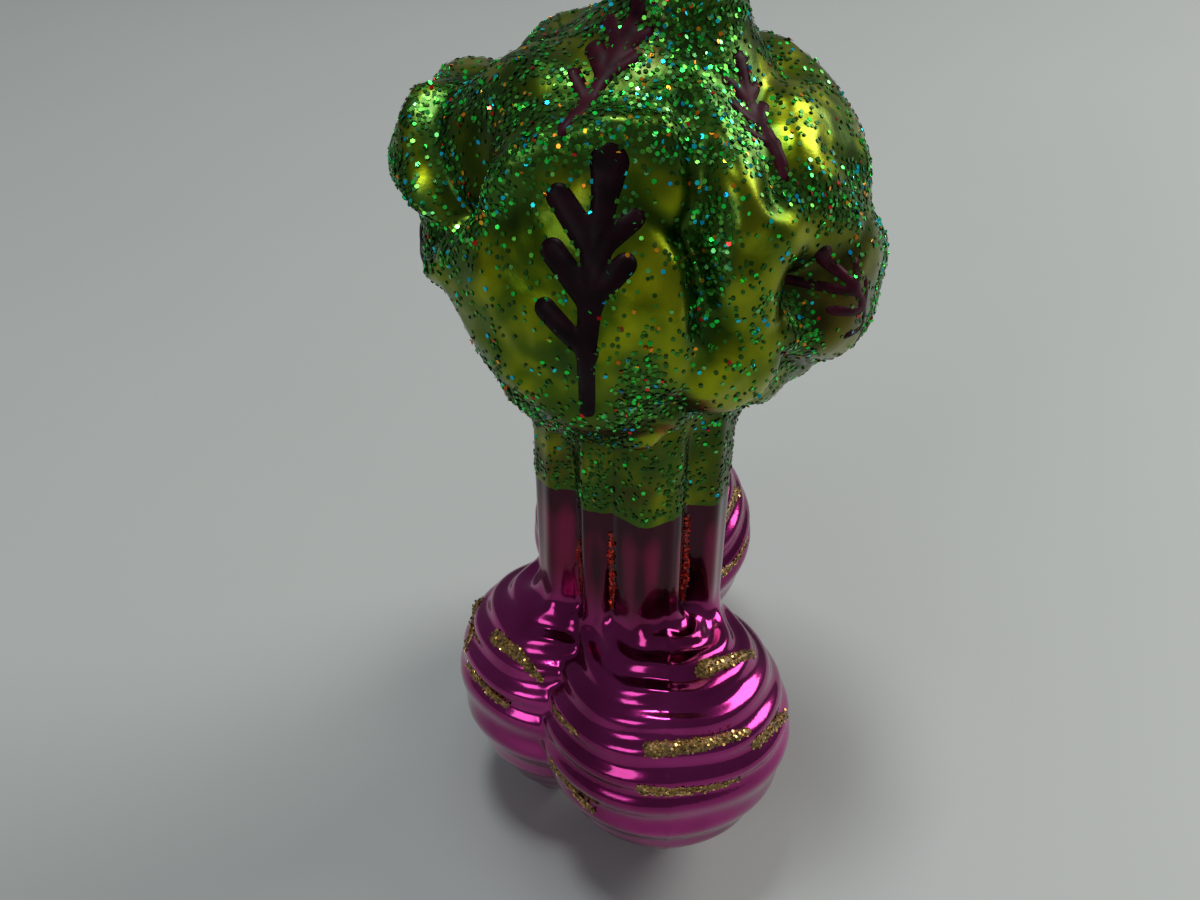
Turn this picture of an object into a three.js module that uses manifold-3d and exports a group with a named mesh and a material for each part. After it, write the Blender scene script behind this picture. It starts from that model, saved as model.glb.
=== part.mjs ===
// A blown glass tree ornament: three beets under a bunch of stalks and a leafy head,
// with a fluted hanger cap and a sprung wire loop.
// Millimetres, +Z up. The beets stand on z = 0 and the photographer's side is -Y.
import * as THREE from 'three';
import { mergeVertices } from 'three/addons/utils/BufferGeometryUtils.js';
import Module from 'manifold-3d';

const wasm = await Module();
wasm.setup();

// Blown shell
const WALL = 1;
const FOOT_CUT = 2;
const LACQUER_LEVEL = 53;

// Beets: centre, radius, rings, and where the root leans, as an azimuth and an angle from straight down
const BEETS = {
  front: { centre: [1.1, -15.3, 21.2], radius: 15.5, rings: 14, toward: -90, lean: 7 },
  left: { centre: [-11.6, -6, 21.2], radius: 13.5, rings: 12, toward: -120, lean: 11 },
  rear: { centre: [-0.8, 17.6, 24.4], radius: 15.5, rings: 14, toward: 90, lean: 10 },
};
const ROOT_TAPER = 2.5;
const RING_DEPTH = 0.35;
const BEET_SIDES = 20;

// Stalks: foot, top and the radius at each
const STALKS = [
  { foot: [-11, -6.5, 28], top: [-10.5, -5, 70], footRadius: 3.2, topRadius: 3.8 },
  { foot: [-6.6, -10.6, 28], top: [-6.8, -9.5, 70], footRadius: 2.3, topRadius: 3 },
  { foot: [-1.3, -11.6, 28], top: [-1.5, -10, 70], footRadius: 4.1, topRadius: 4.6 },
  { foot: [4.6, -8.6, 28], top: [4, -8, 70], footRadius: 3.1, topRadius: 3.8 },
  { foot: [5, -1.5, 28], top: [4.6, -1, 70], footRadius: 3.2, topRadius: 3.8 },
  { foot: [3.6, 6.5, 30], top: [3.6, 6, 70], footRadius: 3.6, topRadius: 4 },
  { foot: [-2.6, 10.6, 30], top: [-2.8, 9.6, 70], footRadius: 4, topRadius: 4.4 },
  { foot: [-9, 7, 28], top: [-8.8, 6.2, 70], footRadius: 3.5, topRadius: 4 },
  { foot: [-11.4, 0.8, 28], top: [-10.8, 1, 70], footRadius: 3, topRadius: 3.6 },
];
const STALK_SIDES = 12;
const STALK_SIDES_INSIDE = 8;
const STALK_INSIDE_REACH = 0.6;
const STALK_CORE = { foot: [-3, -0.3, 24], top: [-3, 0, 70], footRadius: 10.2, topRadius: 10.8 };

// The funnel under the leaves and the shoulder that rises to the neck
const FUNNEL = { foot: [-3, 1, 57], top: [-2.4, 2, 76], footRadius: 11.2, topRadius: 20.4 };
const SHOULDER = { foot: [-0.6, 0, 96], top: [1.1, 0, 105.6], footRadius: 14.4, topRadius: 5.8 };
const FLARE_SIDES = 30;

// Leafy head: each leaf pad has its direction from the head's centre, its half angles, its reach,
// how far its edge falls back, how deep its face is dished, and its corners: 1 is a diamond, 2 is round
const HEAD_CENTRE = [-2.5, 0, 80];
const HEAD_CORE = 15;
const PAD_BLEND = 0.7;
const PADS = [
  { azimuth: -114, height: 6, across: 54, up: 54, reach: 23.5, edge: 4.3, dish: 1.2, corners: 1.3 },
  { azimuth: 160, height: 25, across: 42, up: 25, reach: 27.8, edge: 5, dish: 0, corners: 1.1 },
  { azimuth: -158, height: 48, across: 34, up: 24, reach: 24.6, edge: 3, dish: 0, corners: 2 },
  { azimuth: -120, height: 62, across: 56, up: 26, reach: 23.6, edge: 2.6, dish: 0, corners: 2 },
  { azimuth: -26, height: 34, across: 40, up: 27, reach: 25, edge: 4.2, dish: 0.2, corners: 2 },
  { azimuth: -60, height: 26, across: 17, up: 34, reach: 23.4, edge: 4, dish: 0, corners: 2 },
  { azimuth: -22, height: 0, across: 38, up: 24, reach: 25.5, edge: 4.8, dish: 0.3, corners: 1.5 },
  { azimuth: -66, height: -10, across: 19, up: 20, reach: 22.8, edge: 4, dish: 0, corners: 2 },
  { azimuth: -38, height: -25, across: 30, up: 19, reach: 21.5, edge: 4, dish: 0, corners: 2 },
  { azimuth: 24, height: 36, across: 40, up: 26, reach: 25.6, edge: 5, dish: 0.6, corners: 2 },
  { azimuth: -178, height: 6, across: 30, up: 20, reach: 23.2, edge: 5, dish: 0, corners: 1.6 },
  { azimuth: -176, height: -22, across: 34, up: 24, reach: 20.6, edge: 4.4, dish: 0.3, corners: 1.6 },
  { azimuth: 136, height: 8, across: 36, up: 44, reach: 24, edge: 5, dish: 1.4, corners: 1.4 },
  { azimuth: 88, height: 2, across: 36, up: 46, reach: 23.6, edge: 5, dish: 1.4, corners: 1.4 },
  { azimuth: 40, height: -4, across: 34, up: 40, reach: 24.6, edge: 5, dish: 1.2, corners: 1.6 },
  { azimuth: 106, height: 54, across: 56, up: 26, reach: 25, edge: 4.5, dish: 0.6, corners: 2 },
  { azimuth: -100, height: -29, across: 28, up: 17, reach: 22.4, edge: 4.4, dish: 0, corners: 2 },
];

// Hollows between the leaves: direction, half widths and depth
const HOLLOWS = [
  { azimuth: -150, height: 35, across: 10, up: 10, depth: 3 },
  { azimuth: -47, height: 6, across: 7, up: 13, depth: 3 },
  { azimuth: 62, height: 30, across: 10, up: 14, depth: 2 },
  { azimuth: 160, height: -4, across: 12, up: 10, depth: 1 },
];

// Ridges on the leaves, and grooves where the rise is below zero: each runs along a route of azimuths
// and heights
const RIDGES = [
  {
    halfWidth: 4.5,
    rise: 1.3,
    route: [[-158, 2], [-140, 24], [-133, 37], [-120, 47], [-104, 52], [-80, 52]],
  },
  { halfWidth: 4, rise: 1.2, route: [[176, 36], [-171, 30], [-162, 24], [-155, 14]] },
  { halfWidth: 4, rise: -1.4, route: [[-75, 57], [-75, 42], [-76, 28], [-77, 8]] },
  { halfWidth: 4.5, rise: 0.9, route: [[-84, 60], [-68, 62], [-65, 46], [-66, 30]] },
  { halfWidth: 4, rise: -1.2, route: [[-34, 68], [-36, 58], [-50, 43], [-55, 34]] },
  { halfWidth: 5, rise: 0.8, route: [[0, 10], [-5, -5], [-14, -16], [-28, -26]] },
  { halfWidth: 4, rise: 0.6, route: [[-84, 22], [-82, 8], [-84, -14]] },
  { halfWidth: 8, rise: -1.5, route: [[150, 47], [164, 44]] },
  { halfWidth: 6, rise: 1, route: [[-179, 30], [179, 37]] },
  { halfWidth: 4, rise: 1, route: [[-130, -24], [-118, -38], [-104, -44], [-88, -36]] },
];
const HEAD_SIDES = 60;
const HEAD_ROWS = 40;
const HOLLOW_SIDES = 26;
const HOLLOW_ROWS = 18;
const HOLLOW_SPREAD = 11;
const CREASE_ALLOWANCE = 0.6;

// Neck
const NECK_X = 1.1;
const NECK_RADIUS = 5.7;
const NECK_WALL = 1.2;
const NECK_FOOT = 84;
const NECK_TOP = 115;
const NECK_SIDES = 28;

// Clear gap between pieces
const FIT = 0.3;

// Branching vein, painted on each leaf: points across and up the leaf, with the half width
const VEIN_STROKES = [
  [
    [-0.4, -11.8, 0.7], [-0.2, -5.6, 1], [0, 0.4, 1.5],
    [0.2, 5, 1.9], [0.3, 8.6, 1.5], [0.4, 12, 1.9],
  ],
  [[-3.8, 8.8, 1.2], [0, 4.6, 1.3]],
  [[-3.8, 4, 1.3], [0, 0, 1.3]],
  [[-4.3, -1.4, 1.1], [0, -5, 1]],
  [[3, 7.4, 1], [0.4, 4.8, 1]],
  [[2.8, 3.6, 1.1], [0.4, 0.6, 1.1]],
];
const VEIN_HEIGHT = 0.5;
const VEIN_LIMIT = 106;
const VEINS = [
  { name: 'vein_paint_front', azimuth: -104, height: 14, roll: 0, scale: 1 },
  { name: 'vein_paint_top', azimuth: -114, height: 66, roll: -6, scale: 0.66 },
  { name: 'vein_paint_right', azimuth: -32, height: 0, roll: 30, scale: 0.66 },
  { name: 'vein_paint_upper_right', azimuth: -45, height: 51, roll: -14, scale: 0.5 },
  { name: 'vein_paint_left', azimuth: -172, height: -14, roll: 0, scale: 0.7 },
  { name: 'vein_paint_rear_left', azimuth: 136, height: 8, roll: 0, scale: 0.9 },
  { name: 'vein_paint_rear', azimuth: 88, height: 4, roll: 0, scale: 0.9 },
  { name: 'vein_paint_rear_right', azimuth: 40, height: 0, roll: 0, scale: 0.9 },
];

// Gold glitter lines on the beets: azimuth and height from the beet's centre, with the half width
const GOLD_HEIGHT = 0.6;
const GOLD_LINES = [
  { name: 'gold_line_front_1', beet: 'front', points: [[-50, 66, 1.1], [-21, 60, 0.8], [2, 46, 0.4]] },
  { name: 'gold_line_front_2', beet: 'front', points: [[-100, 36, 0.9], [-74, 37, 0.7], [-45, 33, 0.4]] },
  { name: 'gold_line_front_3', beet: 'front', points: [[-42, 25, 0.9], [-27, 22, 0.6], [-12, 16, 0.4]] },
  { name: 'gold_line_front_4', beet: 'front', points: [[-102, 17, 0.9], [-81, 17, 0.6], [-56, 14, 0.4]] },
  { name: 'gold_line_front_5', beet: 'front', points: [[-164, 24, 0.6], [-154, 26, 0.6], [-142, 28, 0.4]] },
  { name: 'gold_line_front_6', beet: 'front', points: [[-152, 2, 0.6], [-142, -4, 0.6], [-126, -8, 0.4]] },
  { name: 'gold_line_left_1', beet: 'left', points: [[-150, 45, 1], [-126, 46, 0.8], [-104, 38, 0.4]] },
  { name: 'gold_line_left_2', beet: 'left', points: [[-162, 16, 0.4], [-146, 18, 0.5], [-122, 16, 0.4]] },
  { name: 'gold_line_left_3', beet: 'left', points: [[160, 30, 0.9], [176, 28, 0.7], [-168, 22, 0.4]] },
  { name: 'gold_line_rear_1', beet: 'rear', points: [[-6, 30, 0.8], [-22, 32, 0.6], [-38, 30, 0.4]] },
  { name: 'gold_line_rear_2', beet: 'rear', points: [[-50, 4, 0.9], [-36, 4, 0.6], [-20, 8, 0.4]] },
  { name: 'gold_line_rear_3', beet: 'rear', points: [[60, 34, 0.9], [84, 36, 0.7], [108, 32, 0.4]] },
  { name: 'gold_line_rear_4', beet: 'rear', points: [[96, 12, 0.9], [120, 14, 0.6], [144, 12, 0.4]] },
];

// Red glitter lines in the grooves between two neighbouring stalks, from a level to a level
const RED_HEIGHT = 0.6;
const RED_HALF_WIDTH = 0.7;
const RED_LINES = [
  { name: 'red_line_1', between: [0, 1], low: 37, high: 46 },
  { name: 'red_line_2', between: [1, 2], low: 38, high: 50 },
  { name: 'red_line_3', between: [2, 3], low: 38, high: 52 },
  { name: 'red_line_4', between: [3, 4], low: 36, high: 50 },
  { name: 'red_line_5', between: [5, 6], low: 40, high: 51 },
  { name: 'red_line_6', between: [6, 7], low: 40, high: 50 },
  { name: 'red_line_7', between: [7, 8], low: 38, high: 49 },
];

// Hanger cap
const CAP_WALL = 0.5;
const CAP_SKIRT = 6.6;
const CAP_ROOF = 0.9;
const CAP_FLUTES = 18;
const CAP_FLUTE_DEPTH = 0.45;
const CAP_LIP = 0.5;
const CAP_LIP_HEIGHT = 1;

// Hanger wire
const WIRE_RADIUS = 0.45;
const WIRE_SIDES = 8;
const WIRE_STEPS = 44;
const LOOP_RADIUS = 4.3;
const LEG_SPACING = 2.6;
const LEG_REACH = 16;
const WIRE_TRAVEL = 1.5;

function radians(degrees) {
  return degrees * Math.PI / 180;
}

// Turns a closed three.js geometry into a solid
function solid(geometry) {
  const bare = geometry.index ? geometry.toNonIndexed() : geometry.clone();
  bare.deleteAttribute('normal');
  bare.deleteAttribute('uv');
  const merged = mergeVertices(bare, 1e-4);
  return new wasm.Manifold(new wasm.Mesh({
    numProp: 3,
    vertProperties: new Float32Array(merged.attributes.position.array),
    triVerts: new Uint32Array(merged.index.array),
  }));
}

// Turns a solid back into a three.js geometry
function geometryOf(body) {
  const mesh = body.getMesh();
  const geometry = new THREE.BufferGeometry();
  geometry.setAttribute('position', new THREE.BufferAttribute(new Float32Array(mesh.vertProperties), 3));
  geometry.setIndex(new THREE.BufferAttribute(new Uint32Array(mesh.triVerts), 1));
  geometry.computeVertexNormals();
  return geometry;
}

function largestOf(body) {
  return body.decompose().reduce((best, part) => (part.volume() > best.volume() ? part : best));
}

function joined(bodies) {
  return bodies.reduce((all, body) => all.add(body));
}

function direction(azimuth, height) {
  const flat = Math.cos(radians(height));
  return new THREE.Vector3(
    flat * Math.cos(radians(azimuth)),
    flat * Math.sin(radians(azimuth)),
    Math.sin(radians(height)),
  );
}

// Points out of a beet's centre along its root
function rootDirection(beet) {
  return direction(beet.toward, beet.lean - 90);
}

function rootLength(beet) {
  return (beet.centre[2] + FOOT_CUT) / Math.cos(radians(beet.lean));
}

// A beet with ring ridges, grown or shrunk by a distance; two rows of points make one ring
function beetForm(beet, grow, ringDepth, rows) {
  const radius = beet.radius + grow;
  const root = rootLength(beet) + (grow < 0 ? grow - FOOT_CUT : grow);
  const profile = [];
  for (let i = 0; i <= rows; i += 1) {
    const turn = Math.PI * i / rows;
    const below = turn < Math.PI / 2;
    const ring = ringDepth * Math.cos(2 * beet.rings * turn);
    const width = Math.sin(turn) ** (below ? ROOT_TAPER : 1);
    const onAxis = i === 0 || i === rows;
    profile.push(new THREE.Vector2(
      onAxis ? 0 : width * (radius + ring),
      -(below ? root : radius) * Math.cos(turn),
    ));
  }
  const geometry = new THREE.LatheGeometry(profile, BEET_SIDES);
  const down = new THREE.Vector3(0, -1, 0);
  geometry.applyQuaternion(new THREE.Quaternion().setFromUnitVectors(down, rootDirection(beet)));
  geometry.translate(...beet.centre);
  return solid(geometry);
}

// A tapered round bar between two points, grown or shrunk by a distance
function barForm(bar, grow, sides) {
  const start = new THREE.Vector3(...bar.foot);
  const end = new THREE.Vector3(...bar.top);
  const heading = end.clone().sub(start).normalize();
  start.addScaledVector(heading, -grow);
  end.addScaledVector(heading, grow);
  const along = end.clone().sub(start);
  const topRadius = bar.topRadius + grow;
  const footRadius = bar.footRadius + grow;
  const geometry = new THREE.CylinderGeometry(topRadius, footRadius, along.length(), sides);
  const up = new THREE.Vector3(0, 1, 0);
  geometry.applyQuaternion(new THREE.Quaternion().setFromUnitVectors(up, heading));
  const middle = start.add(end).multiplyScalar(0.5);
  geometry.translate(middle.x, middle.y, middle.z);
  return solid(geometry);
}

// A direction's place on a leaf, in shares of the leaf's half angles
function placeOn(leaf, way) {
  const facing = direction(leaf.azimuth, leaf.height);
  const level = direction(leaf.azimuth + 90, 0);
  const rising = new THREE.Vector3().crossVectors(facing, level);
  const ahead = way.dot(facing);
  const near = Math.max(ahead, 0.05);
  return {
    across: Math.abs(Math.atan(way.dot(level) / near) / radians(leaf.across)),
    up: Math.abs(Math.atan(way.dot(rising) / near) / radians(leaf.up)),
    behind: ahead > 0 ? 0 : 9,
  };
}

// How far one leaf pad reaches in a direction
function padReach(pad, way) {
  const place = placeOn(pad, way);
  const off = (place.across ** pad.corners + place.up ** pad.corners) ** (2 / pad.corners) + place.behind;
  return pad.reach - pad.edge * off ** 2 - pad.dish * Math.exp(-off / 0.35);
}

// How far a direction lies from a route
function routeDistance(way, route) {
  const spots = route.map(([azimuth, height]) => direction(azimuth, height));
  let least = Infinity;
  for (let i = 1; i < spots.length; i += 1) {
    const line = new THREE.Line3(spots[i - 1], spots[i]);
    const nearest = line.closestPointToPoint(way, true, new THREE.Vector3());
    least = Math.min(least, nearest.distanceTo(way));
  }
  return least;
}

// The head's radius in a direction: the pads blended over a round core, with the hollows and ridges
function headRadius(way) {
  let sum = Math.exp(HEAD_CORE / PAD_BLEND);
  for (const pad of PADS) {
    sum += Math.exp(padReach(pad, way) / PAD_BLEND);
  }
  let radius = PAD_BLEND * Math.log(sum);
  for (const hollow of HOLLOWS) {
    const place = placeOn(hollow, way);
    radius -= hollow.depth * Math.exp(-(place.across ** 2) - place.up ** 2 - place.behind);
  }
  for (const ridge of RIDGES) {
    const off = routeDistance(way, ridge.route) / radians(ridge.halfWidth);
    radius += ridge.rise * Math.exp(-(off ** 2));
  }
  return radius;
}

// The least radius around a direction, so that the wall stays thick where the outside has a crease
function leastRadius(way) {
  const level = new THREE.Vector3(-way.y, way.x, 1e-6).normalize();
  const rising = new THREE.Vector3().crossVectors(way, level);
  const spread = Math.tan(radians(HOLLOW_SPREAD));
  let least = headRadius(way);
  for (let i = 0; i < 8; i += 1) {
    const angle = Math.PI * i / 4;
    const beside = way.clone()
      .addScaledVector(level, spread * Math.cos(angle))
      .addScaledVector(rising, spread * Math.sin(angle));
    least = Math.min(least, headRadius(beside.normalize()));
  }
  return least - CREASE_ALLOWANCE;
}

function headForm(grow) {
  const inside = grow < 0;
  const sides = inside ? HOLLOW_SIDES : HEAD_SIDES;
  const rows = inside ? HOLLOW_ROWS : HEAD_ROWS;
  const centre = new THREE.Vector3(...HEAD_CENTRE);
  const geometry = new THREE.SphereGeometry(1, sides, rows);
  geometry.rotateX(Math.PI / 2);
  const position = geometry.attributes.position;
  const way = new THREE.Vector3();
  for (let i = 0; i < position.count; i += 1) {
    way.fromBufferAttribute(position, i).normalize();
    const radius = (inside ? leastRadius(way) : headRadius(way)) + grow;
    const point = centre.clone().addScaledVector(way, radius);
    position.setXYZ(i, point.x, point.y, point.z);
  }
  return solid(geometry);
}

function neckForm(radius, top) {
  const neck = {
    foot: [NECK_X, 0, NECK_FOOT],
    top: [NECK_X, 0, top],
    footRadius: radius,
    topRadius: radius,
  };
  return barForm(neck, 0, NECK_SIDES);
}

// Everything above the beets but the stalks, grown or shrunk by a distance
function upperForms(grow) {
  return [
    barForm(STALK_CORE, grow, FLARE_SIDES),
    barForm(FUNNEL, grow, FLARE_SIDES),
    barForm(SHOULDER, grow, FLARE_SIDES),
    headForm(grow),
  ];
}

// The outside of the blown body, grown by a distance
function outerForm(grow) {
  return joined([
    ...Object.values(BEETS).map((beet) => beetForm(beet, grow, RING_DEPTH, 2 * beet.rings)),
    ...STALKS.map((stalk) => barForm(stalk, grow, STALK_SIDES)),
    ...upperForms(grow),
    neckForm(NECK_RADIUS + grow, NECK_TOP),
  ]);
}

// A stalk's centre and radius at a level
function stalkAt(stalk, level) {
  const share = (level - stalk.foot[2]) / (stalk.top[2] - stalk.foot[2]);
  const [x, y] = [0, 1].map((i) => stalk.foot[i] + (stalk.top[i] - stalk.foot[i]) * share);
  return { x, y, radius: stalk.footRadius + (stalk.topRadius - stalk.footRadius) * share };
}

// A stalk moved in until its hollow runs into the hollow of the core all along
function drawnIn(stalk) {
  const moved = (end, radius) => {
    const core = stalkAt(STALK_CORE, end[2]);
    const away = [end[0] - core.x, end[1] - core.y];
    const farthest = core.radius - WALL + STALK_INSIDE_REACH * (radius - WALL);
    const share = Math.min(1, farthest / Math.hypot(...away));
    return [core.x + away[0] * share, core.y + away[1] * share, end[2]];
  };
  return {
    ...stalk,
    foot: moved(stalk.foot, stalk.footRadius),
    top: moved(stalk.top, stalk.topRadius),
  };
}

// The hollow inside it
function hollowForm() {
  return joined([
    ...Object.values(BEETS).map((beet) => beetForm(beet, -WALL - RING_DEPTH, 0, 12)),
    ...STALKS.map((stalk) => barForm(drawnIn(stalk), -WALL, STALK_SIDES_INSIDE)),
    ...upperForms(-WALL),
    neckForm(NECK_RADIUS - NECK_WALL, NECK_TOP + 1),
  ]);
}

function slab(low, high) {
  const size = 200;
  const geometry = new THREE.BoxGeometry(size, size, high - low);
  geometry.translate(0, 0, (low + high) / 2);
  return solid(geometry);
}

// A direction that faces out of a surface, with the level and the rising direction on it
function facingFrame(azimuth, height, roll) {
  const facing = direction(azimuth, height);
  const turn = new THREE.Quaternion().setFromAxisAngle(facing, radians(roll));
  const level = direction(azimuth + 90, 0).applyQuaternion(turn);
  const rising = new THREE.Vector3().crossVectors(facing, level);
  return { facing, level, rising };
}

// The outline of a brush stroke with round ends, through points that each have a half width
function strokeShape(points) {
  const last = points.length - 1;
  const headings = points.map((point, i) => {
    const before = points[Math.max(i - 1, 0)];
    const after = points[Math.min(i + 1, last)];
    return Math.atan2(after[1] - before[1], after[0] - before[0]);
  });
  const rim = (i, angle) => new THREE.Vector2(
    points[i][0] + points[i][2] * Math.cos(headings[i] + angle),
    points[i][1] + points[i][2] * Math.sin(headings[i] + angle),
  );
  const outline = [];
  for (let i = 0; i <= last; i += 1) {
    outline.push(rim(i, -Math.PI / 2));
  }
  for (let k = 1; k < 3; k += 1) {
    outline.push(rim(last, -Math.PI / 2 + Math.PI * k / 3));
  }
  for (let i = last; i >= 0; i -= 1) {
    outline.push(rim(i, Math.PI / 2));
  }
  for (let k = 1; k < 3; k += 1) {
    outline.push(rim(0, Math.PI / 2 + Math.PI * k / 3));
  }
  return new THREE.Shape(outline);
}

// Pushes a stroke outward along a facing direction, between two distances from a centre
function strokeForm(points, frame, centre, low, high) {
  const geometry = new THREE.ExtrudeGeometry(strokeShape(points), {
    depth: high - low,
    bevelEnabled: false,
    steps: 1,
  });
  geometry.translate(0, 0, low);
  geometry.applyMatrix4(new THREE.Matrix4().makeBasis(frame.level, frame.rising, frame.facing));
  geometry.translate(...centre);
  return solid(geometry);
}

// A raised line on the glass: a form cut to the layer just above the surface
function lineOn(layer, form) {
  return largestOf(layer.intersect(form));
}

function surfaceLayer(height) {
  return outerForm(FIT + height).subtract(outerForm(FIT));
}

function veinForm(vein, layer) {
  const frame = facingFrame(vein.azimuth, vein.height, vein.roll);
  const strokes = VEIN_STROKES.map((stroke) => {
    const points = stroke.map((values) => values.map((value) => value * vein.scale));
    return strokeForm(points, frame, HEAD_CENTRE, HEAD_CORE, 2 * HEAD_CORE);
  });
  return lineOn(layer, joined(strokes).intersect(slab(0, VEIN_LIMIT)));
}

function goldForm(line, layer) {
  const beet = BEETS[line.beet];
  const middle = line.points[1];
  const frame = facingFrame(middle[0], middle[1], 0);
  const points = line.points.map(([azimuth, height, halfWidth]) => {
    const way = direction(azimuth, height).multiplyScalar(beet.radius);
    return [way.dot(frame.level), way.dot(frame.rising), halfWidth];
  });
  return lineOn(layer, strokeForm(points, frame, beet.centre, beet.radius / 2, beet.radius * 1.2));
}

// The bottom of the groove between two neighbouring stalks, at a level and a distance off the glass
function groovePoint(first, second, level, off) {
  const a = stalkAt(first, level);
  const b = stalkAt(second, level);
  const core = stalkAt(STALK_CORE, level);
  const [radiusA, radiusB] = [a.radius + off, b.radius + off];
  const gap = Math.hypot(b.x - a.x, b.y - a.y);
  const along = (gap ** 2 + radiusA ** 2 - radiusB ** 2) / (2 * gap);
  const out = Math.sqrt(Math.max(radiusA ** 2 - along ** 2, 0));
  const ux = (b.x - a.x) / gap;
  const uy = (b.y - a.y) / gap;
  const x = a.x + ux * along + uy * out - core.x;
  const y = a.y + uy * along - ux * out - core.y;
  const reach = Math.max(1, (core.radius + off) / Math.hypot(x, y));
  return [core.x + x * reach, core.y + y * reach, level];
}

function redForm(line, layer) {
  const [first, second] = line.between.map((index) => STALKS[index]);
  const off = FIT + RED_HEIGHT / 2;
  const bar = {
    foot: groovePoint(first, second, line.low, off),
    top: groovePoint(first, second, line.high, off),
    footRadius: RED_HALF_WIDTH,
    topRadius: RED_HALF_WIDTH,
  };
  return lineOn(layer, barForm(bar, 0, 8));
}

function roundBar(x, radius, low, high, sides) {
  return barForm({ foot: [x, 0, low], top: [x, 0, high], footRadius: radius, topRadius: radius }, 0, sides);
}

// A fluted ring outline, pulled up between two levels
function flutedForm(radius, low, high) {
  const outline = [];
  for (let i = 0; i < 2 * CAP_FLUTES; i += 1) {
    const angle = Math.PI * i / CAP_FLUTES;
    const reach = radius + (i % 2 === 0 ? CAP_FLUTE_DEPTH : 0);
    outline.push(new THREE.Vector2(reach * Math.cos(angle), reach * Math.sin(angle)));
  }
  const geometry = new THREE.ExtrudeGeometry(new THREE.Shape(outline), {
    depth: high - low,
    bevelEnabled: false,
    steps: 1,
  });
  geometry.translate(NECK_X, 0, low);
  return solid(geometry);
}

const CAP_INSIDE = NECK_TOP + FIT;
const CAP_TOP = CAP_INSIDE + CAP_ROOF;

function capForm() {
  const bore = NECK_RADIUS + FIT;
  const skirtFoot = CAP_INSIDE - CAP_SKIRT;
  const wall = flutedForm(bore + CAP_WALL, skirtFoot, CAP_TOP);
  const lip = flutedForm(bore + CAP_WALL + CAP_LIP, skirtFoot, skirtFoot + CAP_LIP_HEIGHT);
  const inside = roundBar(NECK_X, bore, skirtFoot - 1, CAP_INSIDE, NECK_SIDES);
  const holes = [-1, 1].map((side) => roundBar(
    NECK_X + side * LEG_SPACING / 2,
    WIRE_RADIUS + FIT,
    CAP_INSIDE - 1,
    CAP_TOP + 1,
    12,
  ));
  return wall.add(lip).subtract(inside).subtract(joined(holes));
}

// The wire: two legs that spread inside the neck, and a round loop above the cap
function wireForm() {
  const half = LEG_SPACING / 2;
  const spread = NECK_RADIUS - NECK_WALL - FIT - WIRE_RADIUS;
  const neckIn = Math.asin(half / LOOP_RADIUS);
  const loopFoot = CAP_TOP + FIT + WIRE_RADIUS;
  const loopCentre = loopFoot + LOOP_RADIUS * Math.cos(neckIn);
  const straight = CAP_INSIDE - WIRE_TRAVEL - FIT;
  const leg = [
    [-spread, CAP_INSIDE - LEG_REACH],
    [-(spread * 0.75 + half * 0.25), CAP_INSIDE - LEG_REACH * 0.7],
    [-(spread * 0.35 + half * 0.65), CAP_INSIDE - LEG_REACH * 0.4],
    [-half, straight],
    [-half, CAP_TOP],
  ];
  const loop = [];
  const turns = 14;
  for (let i = 0; i <= turns; i += 1) {
    const angle = -Math.PI / 2 - neckIn - (2 * Math.PI - 2 * neckIn) * i / turns;
    loop.push([LOOP_RADIUS * Math.cos(angle), loopCentre + LOOP_RADIUS * Math.sin(angle)]);
  }
  const back = leg.map(([x, z]) => [-x, z]).reverse();
  const route = [...leg, ...loop, ...back].map(([x, z]) => new THREE.Vector3(NECK_X + x, 0, z));
  const section = [];
  for (let i = 0; i < WIRE_SIDES; i += 1) {
    const angle = 2 * Math.PI * i / WIRE_SIDES;
    section.push(new THREE.Vector2(WIRE_RADIUS * Math.cos(angle), WIRE_RADIUS * Math.sin(angle)));
  }
  const geometry = new THREE.ExtrudeGeometry(new THREE.Shape(section), {
    steps: WIRE_STEPS,
    bevelEnabled: false,
    extrudePath: new THREE.CatmullRomCurve3(route, false, 'centripetal'),
  });
  return solid(geometry);
}

const shell = largestOf(outerForm(0).subtract(hollowForm()));
const beetGlass = shell.intersect(slab(0, LACQUER_LEVEL));
const leafGlass = shell.intersect(slab(LACQUER_LEVEL, 200));

const LOOKS = {
  magenta: { color: 0x992770, roughness: 0.12, metalness: 0.9 },
  green: { color: 0x6b7919, roughness: 0.35, metalness: 0.8 },
  maroon: { color: 0x300a19, roughness: 0.3, metalness: 0 },
  gold: { color: 0xb3904f, roughness: 0.4, metalness: 0.8 },
  red: { color: 0x8c1218, roughness: 0.4, metalness: 0.8 },
  metal: { color: 0xc9a75a, roughness: 0.3, metalness: 1 },
};

const pieces = [];
function addPiece(name, body, look) {
  pieces.push({ name, geometry: geometryOf(body), look });
}

addPiece('beet_glass', beetGlass, 'magenta');
addPiece('leaf_glass', leafGlass, 'green');
addPiece('hanger_cap', capForm(), 'metal');
addPiece('hanger_wire', wireForm(), 'metal');

const veinLayer = surfaceLayer(VEIN_HEIGHT);
for (const vein of VEINS) {
  addPiece(vein.name, veinForm(vein, veinLayer), 'maroon');
}
const goldLayer = surfaceLayer(GOLD_HEIGHT);
for (const line of GOLD_LINES) {
  addPiece(line.name, goldForm(line, goldLayer), 'gold');
}
const redLayer = surfaceLayer(RED_HEIGHT);
for (const line of RED_LINES) {
  addPiece(line.name, redForm(line, redLayer), 'red');
}

// The ornament is moved so that its origin is the middle of its footprint
const bounds = new THREE.Box3();
for (const piece of pieces) {
  piece.geometry.computeBoundingBox();
  bounds.union(piece.geometry.boundingBox);
}
const middle = bounds.getCenter(new THREE.Vector3());

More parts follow.
